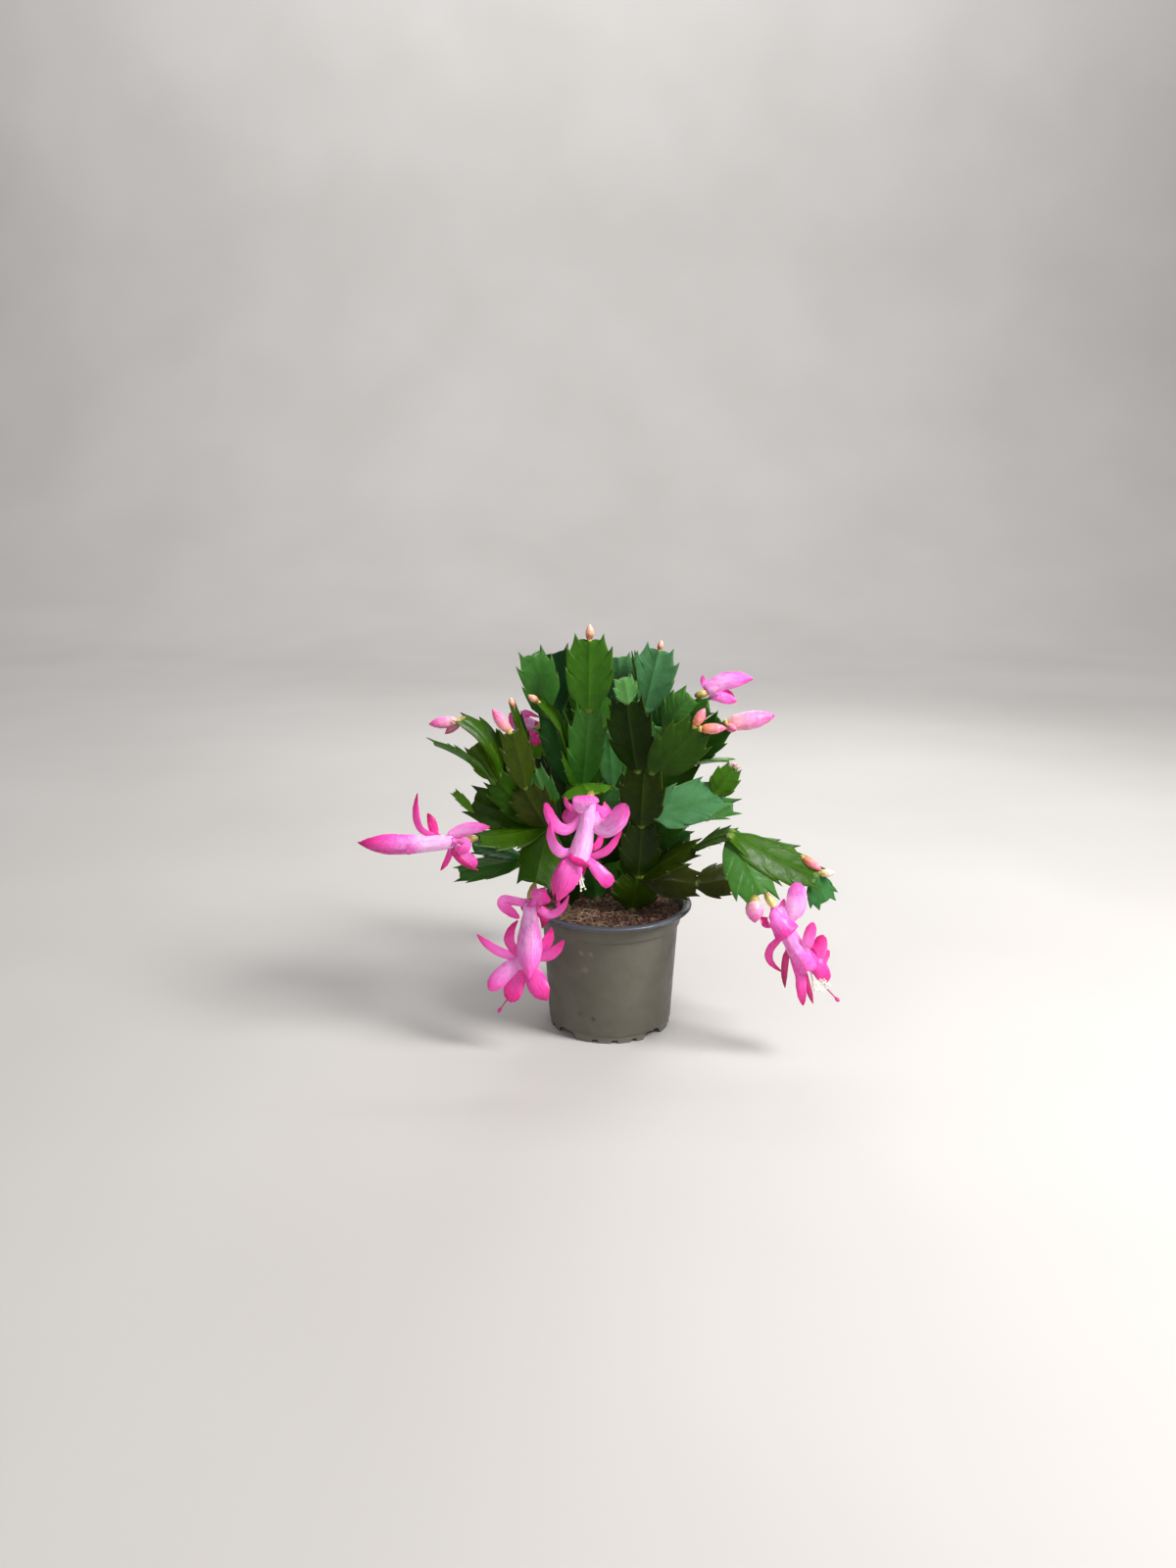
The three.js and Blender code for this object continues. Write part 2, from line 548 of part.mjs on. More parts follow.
// Along a petal: [share of its length, share of its width, thickness].
const PETAL_STATIONS = [[0, 0.45, 1.4], [0.36, 0.92, 1.3], [0.72, 0.94, 1.2], [1, 0, 0]];

const PETAL_ROOT = 0.5; // where a petal starts, as a share of the tube's radius

// A petal: three-sided, its ridge on the side that it faces.
function petalSolid(curve, radius, [share, bend, tip, width, face]) {
  const root = curve.getPoint(share);
  const out = vec(bend).sub(root);
  out.addScaledVector(curve.getTangent(share), -out.dot(curve.getTangent(share))).normalize();
  root.addScaledVector(out, radius * PETAL_ROOT);
  const line = new THREE.QuadraticBezierCurve3(root, vec(bend), vec(tip));
  return loftSolid(
    PETAL_STATIONS.map(([t, w, thick]) => {
      const c = line.getPoint(t);
      if (w === 0) return [c];
      const along = line.getTangent(t);
      const up = vec(face).addScaledVector(along, -vec(face).dot(along)).normalize();
      const across = new THREE.Vector3().crossVectors(along, up);
      const edge = (side) => c.clone().addScaledVector(across, (side * w * width) / 2);
      return [c.clone().addScaledVector(up, thick), edge(1), edge(-1)];
    }),
  );
}

function tierPetals(curve) {
  return TIERS.flatMap(([share, count, bendOut, bendAlong, tipOut, tipAlong, width], tier) =>
    Array.from({ length: count }, (_, i) => {
      const middle = curve.getPoint(share);
      const d = curve.getTangent(share);
      const [front, right] = sidesOf(d);
      const a = ((i + tier / 2) / count) * 2 * Math.PI;
      const out = front.clone().multiplyScalar(Math.cos(a)).addScaledVector(right, Math.sin(a));
      const at = (outwards, along) =>
        middle.clone().addScaledVector(out, outwards).addScaledVector(d, along).toArray();
      return [share, at(bendOut, bendAlong), at(tipOut, tipAlong), width, out.toArray()];
    }),
  );
}

function tubeSolid(curve, radius) {
  const rings = TUBE_SHAPE.map(([t, r]) => ring(curve.getPoint(t), curve.getTangent(t), r * radius, 6));
  return loftSolid(rings);
}

// A bundle of filaments that fan out of one root, on the side away from the style.
const STAMENS = { count: 5, root: 1.5, spread: 0.34, from: 70, to: 290, radius: 0.45, anther: 0.8 };

function stamenSolid(mouth, out, lean, tip) {
  const start = mouth.clone().addScaledVector(out, GAP);
  const d = tip.clone().sub(start);
  const length = d.length();
  d.normalize();
  const root = loftSolid([
    ring(start, out, STAMENS.root, 5),
    ring(start.clone().addScaledVector(d, length * 0.15), d, STAMENS.root * 0.8, 5),
  ]);
  const beside = new THREE.Vector3().crossVectors(d, lean);
  const filaments = Array.from({ length: STAMENS.count }, (_, i) => {
    const share = i / (STAMENS.count - 1);
    const a = THREE.MathUtils.degToRad(STAMENS.from + (STAMENS.to - STAMENS.from) * share);
    const way = d
      .clone()
      .addScaledVector(lean, STAMENS.spread * Math.cos(a))
      .addScaledVector(beside, STAMENS.spread * Math.sin(a))
      .normalize();
    const reach = length * (0.86 + 0.07 * ((i * 2) % 3));
    const at = (t) => start.clone().addScaledVector(d, 0.5).addScaledVector(way, t * reach);
    const anther = ring(at(0.9), way, STAMENS.anther, 3);
    return loftSolid([ring(at(0), way, STAMENS.radius, 3), anther, [at(1)]]);
  });
  return joined([root, ...filaments]);
}

const STYLE = { radius: 0.5, stigma: 1.2, aside: 2.3 };

// The style leaves the mouth beside the stamens and ends in the stigma.
function styleSolid(mouth, d, lean, tip) {
  const start = mouth.clone().addScaledVector(d, GAP).addScaledVector(lean, STYLE.aside);
  const way = tip.clone().sub(start);
  const length = way.length();
  way.normalize();
  const at = (t) => start.clone().addScaledVector(way, t * length);
  return loftSolid([
    ring(at(0), way, STYLE.radius, 5),
    ring(at(0.88), way, STYLE.radius, 5),
    ring(at(0.95), way, STYLE.stigma, 5),
    [at(1)],
  ]);
}

// The pieces of one bloom, by name.
function bloomSolids(bloom, plant) {
  const [, segment, aside = 0] = bloom.on;
  const neck = vec(bloom.neck);
  const start = tipOf(plant.segments[segment], aside);
  const way = neck.clone().sub(start).normalize();
  const bend = vec(bloom.bend);
  const mouth = vec(bloom.mouth);
  const out = bend.clone().sub(neck).normalize();
  const curve = new THREE.QuadraticBezierCurve3(neck.clone().addScaledVector(out, GAP), bend, mouth);
  const petals = (bloom.petals ?? tierPetals(curve)).map((p) => petalSolid(curve, bloom.radius, p));
  const pieces = {
    ovary: seated(plant.solid, (away) =>
      ovarySolid(start.clone().addScaledVector(way, away), neck, out),
    ),
    petals: joined([tubeSolid(curve, bloom.radius), ...petals]),
  };
  if (bloom.stamens) {
    const d = curve.getTangent(1);
    const tip = vec(bloom.stigma);
    const lean = tip.clone().sub(mouth);
    lean.addScaledVector(d, -lean.dot(d)).normalize();
    pieces.stamens = stamenSolid(mouth, d, lean, vec(bloom.stamens));
    pieces.style = styleSolid(mouth, d, lean, tip);
  }
  return pieces;
}

// ---------------------------------------------------------------- pot and soil
const { height: potHeight, rimRadius, rimDrop, wall, topRadius, footRadius } = POT;
const shoulderRadius = topRadius - 1.4 - POT.step;
const POT_PROFILE = [
  [footRadius - 0.5, 0],
  [footRadius - 0.2, POT.footHeight],
  [footRadius + 0.4, POT.footHeight + 0.5],
  [shoulderRadius, POT.shoulder],
  [topRadius - 1, POT.shoulder + POT.step],
  [topRadius - 0.4, potHeight - rimDrop],
  [rimRadius - 0.8, potHeight - rimDrop],
  [rimRadius, potHeight - 2],
  [rimRadius - 2, potHeight],
  [topRadius - wall, potHeight],
  [shoulderRadius - wall, POT.shoulder],
  [footRadius - wall, POT.floor + wall],
  [0, POT.floor + wall],
  [0, POT.floor],
  [footRadius - 0.5 - wall, POT.floor],
  [footRadius - 0.5 - wall, 0],
  [footRadius - 0.5, 0],
];

function potSolid() {
  const lathe = new THREE.LatheGeometry(
    POT_PROFILE.map(([r, z]) => new THREE.Vector2(r, z)),
    POT.sides,
  );
  lathe.rotateX(Math.PI / 2);
  let pot = solidOf(lathe);
  for (let quarter = 0; quarter < 4; quarter++) {
    const wide = -(NOTCH.first + quarter * 90);
    pot = pot.subtract(notch(wide, NOTCH.wide, NOTCH.wideHeight));
    for (const k of [-1, 0, 1])
      pot = pot.subtract(notch(wide + 45 + k * NOTCH.pitch, NOTCH.small, NOTCH.smallHeight));
  }
  return pot;
}

// A block that cuts one notch up into the foot ring, narrower at its top.
function notch(degrees, width, height) {
  const taper = height * 0.35;
  const shape = new THREE.Shape([
    new THREE.Vector2(-width / 2, -1),
    new THREE.Vector2(width / 2, -1),
    new THREE.Vector2(width / 2 - taper, height),
    new THREE.Vector2(taper - width / 2, height),
  ]);
  const depth = 8;
  const geometry = new THREE.ExtrudeGeometry(shape, { depth, bevelEnabled: false });
  geometry.rotateX(Math.PI / 2);
  geometry.rotateZ(Math.PI / 2);
  geometry.translate(footRadius - depth / 2 - 1, 0, 0);
  geometry.rotateZ(THREE.MathUtils.degToRad(degrees));
  return solidOf(geometry);
}

// A repeatable run of numbers between 0 and 1.
function seeded(seed) {
  let state = seed;
  return () => (state = (state * 16807) % 2147483647) / 2147483647;
}

// Peat: a body that fills the pot's taper under a lumpy top, with a plain hole for each stem.
function soilSolid() {
  const random = seeded(SOIL.seed);
  const bottom = POT.floor + wall + GAP;
  const innerAt = (z) => {
    const share = (z - POT.floor - wall) / (POT.shoulder - POT.floor - wall);
    return footRadius - wall + (shoulderRadius - footRadius) * share - GAP - 0.1;
  };
  const edge = SOIL.level - SOIL.edge;
  const rings = [circle(innerAt(bottom), () => bottom), circle(innerAt(edge), () => edge)];
  for (let i = 0; i < SOIL.rings; i++) {
    const share = 1 - i / SOIL.rings;
    const lump = i ? SOIL.heap : SOIL.heap / 3;
    rings.push(circle(innerAt(edge) * share, () => SOIL.level + (random() - 0.5) * lump));
  }
  rings.push([new THREE.Vector3(0, 0, SOIL.level + 1)]);
  let soil = loftSolid(rings);
  for (const plant of Object.values(PLANTS)) soil = soil.subtract(stub(plant.root, GAP));
  return soil;
}

function circle(radius, heightAt) {
  return Array.from({ length: SOIL.sides }, (_, i) => {
    const a = (i / SOIL.sides) * 2 * Math.PI;
    return new THREE.Vector3(radius * Math.cos(a), radius * Math.sin(a), heightAt(i));
  });
}

// ---------------------------------------------------------------- materials
const paint = (color, roughness) => new THREE.MeshStandardMaterial({ color, roughness, metalness: 0 });
const TAUPE = paint("#6f6a60", 0.55);
const PEAT = paint("#4a3020", 0.95);
const GREEN = paint("#3f6b27", 0.45);
const SALMON = paint("#e88f86", 0.5);
const LIME = paint("#b9b860", 0.5);
const PINK = paint("#ee6cc0", 0.5);
const WHITE = paint("#f4e6ee", 0.6);
const MAGENTA = paint("#c8156f", 0.45);
const BLOOM_PAINTS = { ovary: LIME, petals: PINK, stamens: WHITE, style: MAGENTA };

// ---------------------------------------------------------------- the whole
const cactus = new THREE.Group();
cactus.add(meshOf("pot", potSolid(), TAUPE));
cactus.add(meshOf("soil", soilSolid(), PEAT));
const grown = {};
for (const [name, plant] of Object.entries(PLANTS)) {
  grown[name] = growPlant(plant);
  cactus.add(meshOf("plant_" + name, grown[name].solid, GREEN));
}
for (const [name, plant, ...bud] of BUDS)
  cactus.add(meshOf("bud_" + name, budSolid(grown[plant], ...bud), SALMON));
for (const [name, bloom] of Object.entries(BLOOMS)) {
  const pieces = bloomSolids(bloom, grown[bloom.on[0]]);
  for (const [piece, solid] of Object.entries(pieces))
    cactus.add(meshOf(piece + "_" + name, solid, BLOOM_PAINTS[piece]));
}

// The origin is on the surface that the pot stands on, below the middle of the object's box.
const box = new THREE.Box3().setFromObject(cactus);
cactus.position.set(-(box.min.x + box.max.x) / 2, -(box.min.y + box.max.y) / 2, 0);
const part = new THREE.Group();
part.add(cactus);

export default part;
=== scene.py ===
"""A potted Christmas cactus in flower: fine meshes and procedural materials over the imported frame."""

import math
import random

import bpy
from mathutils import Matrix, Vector, noise


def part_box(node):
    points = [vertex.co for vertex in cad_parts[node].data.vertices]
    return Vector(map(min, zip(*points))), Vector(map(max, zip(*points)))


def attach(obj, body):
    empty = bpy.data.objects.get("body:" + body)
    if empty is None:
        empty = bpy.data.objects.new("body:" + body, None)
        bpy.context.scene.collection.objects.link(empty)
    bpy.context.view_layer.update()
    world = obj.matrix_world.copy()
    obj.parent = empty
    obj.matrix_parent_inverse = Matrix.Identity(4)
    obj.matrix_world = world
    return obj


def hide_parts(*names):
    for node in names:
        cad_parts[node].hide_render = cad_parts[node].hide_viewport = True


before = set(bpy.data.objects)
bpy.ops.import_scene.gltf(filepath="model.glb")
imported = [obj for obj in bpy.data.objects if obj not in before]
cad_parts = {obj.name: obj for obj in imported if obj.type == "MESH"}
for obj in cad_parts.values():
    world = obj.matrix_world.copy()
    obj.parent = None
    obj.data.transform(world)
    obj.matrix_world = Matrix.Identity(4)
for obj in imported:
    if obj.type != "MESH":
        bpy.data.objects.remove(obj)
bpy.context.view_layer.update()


# ---------------------------------------------------------------- the places, in mm from the pot's axis
def rows_of(text):
    """The rows of a table, which end at commas and line ends. Words stay words, and numbers are numbers."""
    rows = [row.split() for row in text.replace(",", "\n").split("\n")]
    return [[word if word[0].isalpha() else float(word) for word in row] for row in rows if row]


# Plant: name and where it is rooted. Under it its segments: name, what it grows from, tip, width, way its
# face looks, arch, and where it starts: how far sideways on its parent's tip, or a place on its parent.
# Those named z are inner segments, seen only through the gaps among the others. z1 to z7 are painted very
# dark, as painted shade in those gaps.
PLANTS = rows_of("""
plant front 14 -5
f1 root 17 -12 103 28 0 -1 0.2 1
f2 f1 19 -18 138 25 0.1 -1 0.1 1
f3 f2 20 -24 174 27 -0.2 -1 0 2
f4 f3 9 -28 218 27 -0.3 -1 -0.1 2 -0.5
f5 f3 51 -34 203 31 0.2 -1 -0.2 2 0.6
f6 f4 6 -32 232 14 0.2 -1 0.2 1
arm1 f1 53 -25 125 24 -0.3 -0.38 1 2 0.6
arm2 arm1 73 -38 137 22 -0.25 -0.18 1 1
arm3 arm2 89 -58 105 30 0.3 -1 0.5 -2 -0.5
arm4 arm2 116 -26 121 24 0.2 -0.6 1 -3 0.5
arm5 arm2 125 -44 112 25 0.2 -0.8 0.8 -3 0.1
arm6 arm5 130 -46 97 21 0.4 -1 0.5 -1
low1 f1 56 -2 94 22 0 -1 0.4 2 0.4
low2 low1 81 4 96 22 0.1 -1 0.3 1
side1 f3 69 -19 158 26 0.1 -1 0.4 2 0.24 0.5 -1.5
side2 side1 75 -20 175 16 -0.2 -1 0.1 1 0.9 -0.1 0
plant centre -9 17
c1 root -13 12 105 26 0 -1 0.2 1
c2 c1 -17 2 135 24 0 -1 0.2 1
c3 c2 -18 -10 162 24 0 -1 0.3 1
c4 c3 -14 -22 212 22 0.1 -1 0.1 1
c5 c4 -13.5 -24 254.5 28 0 -1 0 1
c6 c3 -13 -58 167 29 -0.15 -0.4 1 -1
d1 c3 -37 -4 206 23 -0.3 -1 0 2 -0.5
d2 d1 -49 -10 244 24.5 0.5 -1 0 2 -0.4
d3 d1 -36 12 242 28 -0.5 -1 0 2 0.5
d4 c3 -42 5 197 15 -0.2 -1 0 1 -0.9
e1 c3 -28 -15 185 15 0.9 -0.8 0 1 -0.7
e2 e1 -45 -21 216 14 1 -0.28 0.3 3
g1 c2 1 -2 160 20 0.1 -1 0 1 0.6
g2 g1 -2 -8 196 16 0.2 -1 0 1
z2 c1 15 8 135 24 0.1 -1 0.1 1 0.8
z3 c2 -35 8 178 25 0.1 -1 0.1 1 -0.6
z7 c2 9 6 166 22 0.1 -1 0.1 1 0.8
plant left -28 3
l1 root -32 -5 114 25 -0.3 -1 0.2 1
l2 l1 -39 -26 139 25 -0.2 -0.8 0.4 1
l3 l2 -47 -42 107 26 0 -1 0.1 -2
l4 l2 -81 -45 137 22 0 -0.34 1 -2 -0.4
l5 l2 -53 -34 166 25 -0.2 -1 0.1 2
l6 l5 -60 -40 202 18.5 0.5 -1 0.1 2
l7 l2 -48 -21 174 17 0.3 -1 0.1 1 0.6
l8 l7 -60 -20 213 11 1 -0.5 0 1
k1 l1 -48 -6 136 22 -0.3 -1 0.2 1 -0.5
k2 k1 -87 -12 152 26 -0.2 -1 0.6 2 -0.5
k4 k1 -72 -22 169 22 -0.3 -1 0.4 2 0.5
k5 k4 -108 -28 192 18 -0.2 0.1 1 3 -0.4
k6 k4 -84 -24 190 17 0.3 -1 0.3 1
k7 k4 -93 -16 204 22 0.9 -0.5 0.6 6 0.5
k8 k1 -66 -14 181 20 -0.2 -1 0.1 1 0.8
n1 l1 -58 -6 111 20 -0.2 -0.6 0.8 1 -0.7
n2 n1 -97 -12 104 21 0 -0.5 1 1 -0.3
n3 n1 -87 -20 124 17 0 -0.6 1 1 0.5
z1 l1 -35 5 158 26 0.1 -1 0.1 1 0.6
z6 k1 -50 4 176 22 0.1 -1 0.1 1 0.4
z13 k2 -98 -14 158 5.5 0.3 -1 0.3 1 0.93 -0.5 0
plant back 17 25
s1 root 21 22 112 26 0.1 -1 0.2 1
s2 s1 25 18 142 25 0 -1 0 1
s3 s2 23 12 174 24 0 -1 0.1 1
s4 s3 21 8 206 22 0 -1 0.1 1 -0.3
s5 s4 30 4 245 28 -0.2 -1 0.1 1
s6 s4 14 12 240 16 1 -0.2 0 1 -0.7
s7 s3 7 22 207 22 0 -1 0.2 1 -0.7
s8 s7 5 25 238 24 -0.2 -1 0.1 1
t1 s3 34 2 196 22 0.2 -1 0.2 1 0.6
t2 t1 50 -4 216.5 22 -0.4 -1 0.5 2
t3 t1 60 -14 212 19 -0.5 -1 0.8 2 0.6
v1 s2 49 8 174 22 0.1 -1 0.2 1 0.6
v2 v1 70 -4 200 22 -0.4 -1 0.3 1
v3 v1 74 -4 176 18 0 0.15 1 1 0.6
x1 s1 42 2 139 22 0 -1 0.5 1 0.7
x2 x1 78 -6 146 20 0 -0.7 1 1
x4 s1 52 9 120 22 0 -0.7 0.7 1 0.9
z4 s1 36 12 150 24 0 -1 0.1 1 0.8
z5 s3 36 14 208 21 0 -1 0.1 1 0.7
z8 s2 30 32 172 21 1 0.3 0 1 0.4
plant rear -4 38
r1 root -2 46 106 27 0 1 0.3 1
r2 r1 -4 56 142 26 0 1 0.2 1
r3 r2 -8 58 180 26 0.2 1 0.1 1
r4 r3 -16 54 222 29 -0.2 1 0.1 2 -0.3
r5 r3 22 66 208 26 0.3 1 0.2 2 0.6
r6 r2 32 72 158 25 0.3 1 0.5 3 0.7
r7 r6 46 92 138 25 0.4 0.6 1 3
r8 r7 42 102 106 25 0.2 1 0.3 1
r9 r6 60 62 180 23 0.2 1 0.3 2 0.6
r10 r2 -36 74 158 25 -0.3 1 0.5 3 -0.7
r11 r10 -48 90 138 25 -0.5 0.6 1 3
r12 r11 -40 98 104 23 -0.2 1 0.2 1
r13 r10 -58 58 182 24 -0.5 1 0.4 2 -0.5
r14 r1 6 82 116 24 0 0.5 1 3 0.5
r15 r14 4 108 104 24 0.1 0.8 0.8 2
r16 r3 -42 60 206 23 -0.4 1 0.3 2 -0.7
z9 r1 4 34 140 23 1 -0.2 0.1 1 0.4
z10 z9 0 40 172 21 0.9 0.4 0 1
z11 z10 5 40 202 19 1 0.2 0 1
z12 root -8 27 105 19 0.9 0.3 0.2 1
""")
# Half outline of a segment: [share of its length, share of its half width], points and notches in turn.
OUTLINES = [
    [[0.2, 0.75], [0.52, 1.07], [0.49, 0.95], [0.82, 1.05], [0.77, 0.87], [1.06, 0.7], [0.97, 0.5]],
    [[0.22, 0.8], [0.58, 1.05], [0.54, 0.93], [0.87, 0.99], [0.81, 0.84], [1.05, 0.62], [0.97, 0.46]],
    [[0.18, 0.72], [0.45, 1.04], [0.42, 0.94], [0.77, 1.08], [0.72, 0.91], [1.06, 0.8], [0.97, 0.56]],
    [[0.12, 0.8], [0.42, 1.08], [0.39, 1.0], [0.8, 1.02], [0.74, 0.88], [1.08, 0.58], [0.95, 0.4]],
    [[0.22, 0.72], [0.6, 1.03], [0.53, 0.92], [0.93, 1.06], [0.82, 0.84], [1.12, 0.64], [0.95, 0.42]],
]
TEETH, NOTCHES = (1, 3, 5), (2, 4, 6)
# Any segment has one of the first three outlines. These have the fourth, rounder at the base, or the
# fifth, with long teeth.
COMMON = 3
SHAPED = {"side1": 3, "side2": 3, "arm3": 4, "arm6": 4, "c6": 3, "x2": 4}
# Segment: how its green leans, from -1 bluish over 1 yellowish to 2 olive, and how light it is (0.5: middle).
# Both are partly the segment's own colour and partly painted light: painted sheen makes some segments light
# and bluish, painted shade makes others dark and olive, and z1 to z7 very dark.
TONES_AND_PAINTED_LIGHT = rows_of("""
c5 0.4 0.53, c4 0 0.58, d1 -0.3 0.45, d2 -0.1 0.58, d3 -0.9 0.2, e2 0.9 0.4, e1 0.5 0.4, c6 0.6 0.85
s5 -0.9 0.9, s6 -0.8 0.5, f6 -0.2 0.85, f4 0.6 0.14, f5 1.1 0.3, f3 1.5 0.2, side1 -1 0.79
side2 0.6 0.55, arm2 1.3 0.3, arm3 0 0.6, arm4 0.8 0.5, arm5 0.9 0.46, arm6 -0.6 0.62, arm1 1.6 0.28
low1 2 0.25, low2 2 0.25, k7 1.2 0.4, k4 0.6 0.4, l8 1.4 0.3, l6 1.7 0.34, l3 1.2 0.38, l4 1.3 0.42
f1 1.5 0.34, f2 1.2 0.14, g2 -0.5 0.65, k2 1.2 0.3, v3 0.2 0.85, l5 1.8 0.36, l1 0.8 0.2, l2 0.8 0.25
s4 -0.6 0.5, s8 -0.8 0.75, k5 0.2 0.7, n2 0.1 0.6, x2 -0.2 0.7, x4 -0.6 0.55, t1 -0.1 0.66, t2 0 0.7
g1 -0.4 0.6, k6 1.4 0.6, n3 -0.6 0.55, z1 0.2 0.15, z2 0.4 0.15, z3 0 0.15, z4 0.4 0.15, z5 0.2 0.2
z6 0.4 0.15, z7 0.2 0.15, z13 0.8 1
""")
TONES_AND_PAINTED_LIGHT = {label: tone for label, *tone in TONES_AND_PAINTED_LIGHT}
# Long hairs at a segment's tip.
TUFTS = {"side2": 60}

# Bud: name, plant, segment, way it points, length, radius, warmth of its base, and its place: how far
# sideways on the segment's tip, or a place on the segment.
BUDS = rows_of("""
top centre c5 0 0 1 9.5 2.5 1.2 0
crown back s5 0.2 0 1 6.5 1.9 1.2 0
peach centre e2 -0.8 -0.1 0.6 8 2.2 1.2 0
pink left l6 -0.7 -0.2 1 17 3.5 0.6 -0.35
amber left l8 -0.3 0 1 7 1.9 1.25 0
pale left k7 -1 -0.1 -0.1 18 3.7 0.3 -0.3
dusk left k7 -1 -0.2 -0.85 14 2.7 0.6 0.5
coral front f5 0.55 -0.1 1 12.5 3.1 1 -0.35
salmon front f5 1 -0.1 0.05 15.5 3.3 0.9 0.3
young back v2 0.6 -1 -0.1 10 2.7 0.7 0.5
long back v2 1 0 0.18 31 5.8 0.2 0.3
fat front arm3 0 -0.3 -1 14 5.5 0.15 0.8
rose front arm5 0.75 -0.55 -0.42 14 2.9 0.9 0.8 -0.72 1.2
cream front arm5 1 -0.3 0.1 9 2.5 1.5 -0.6
rear_tip rear r4 0 0.2 1 9 2.4 0.8 0
rear_side rear r9 0.6 0.3 1 15 3.3 0.7 0.2
""")
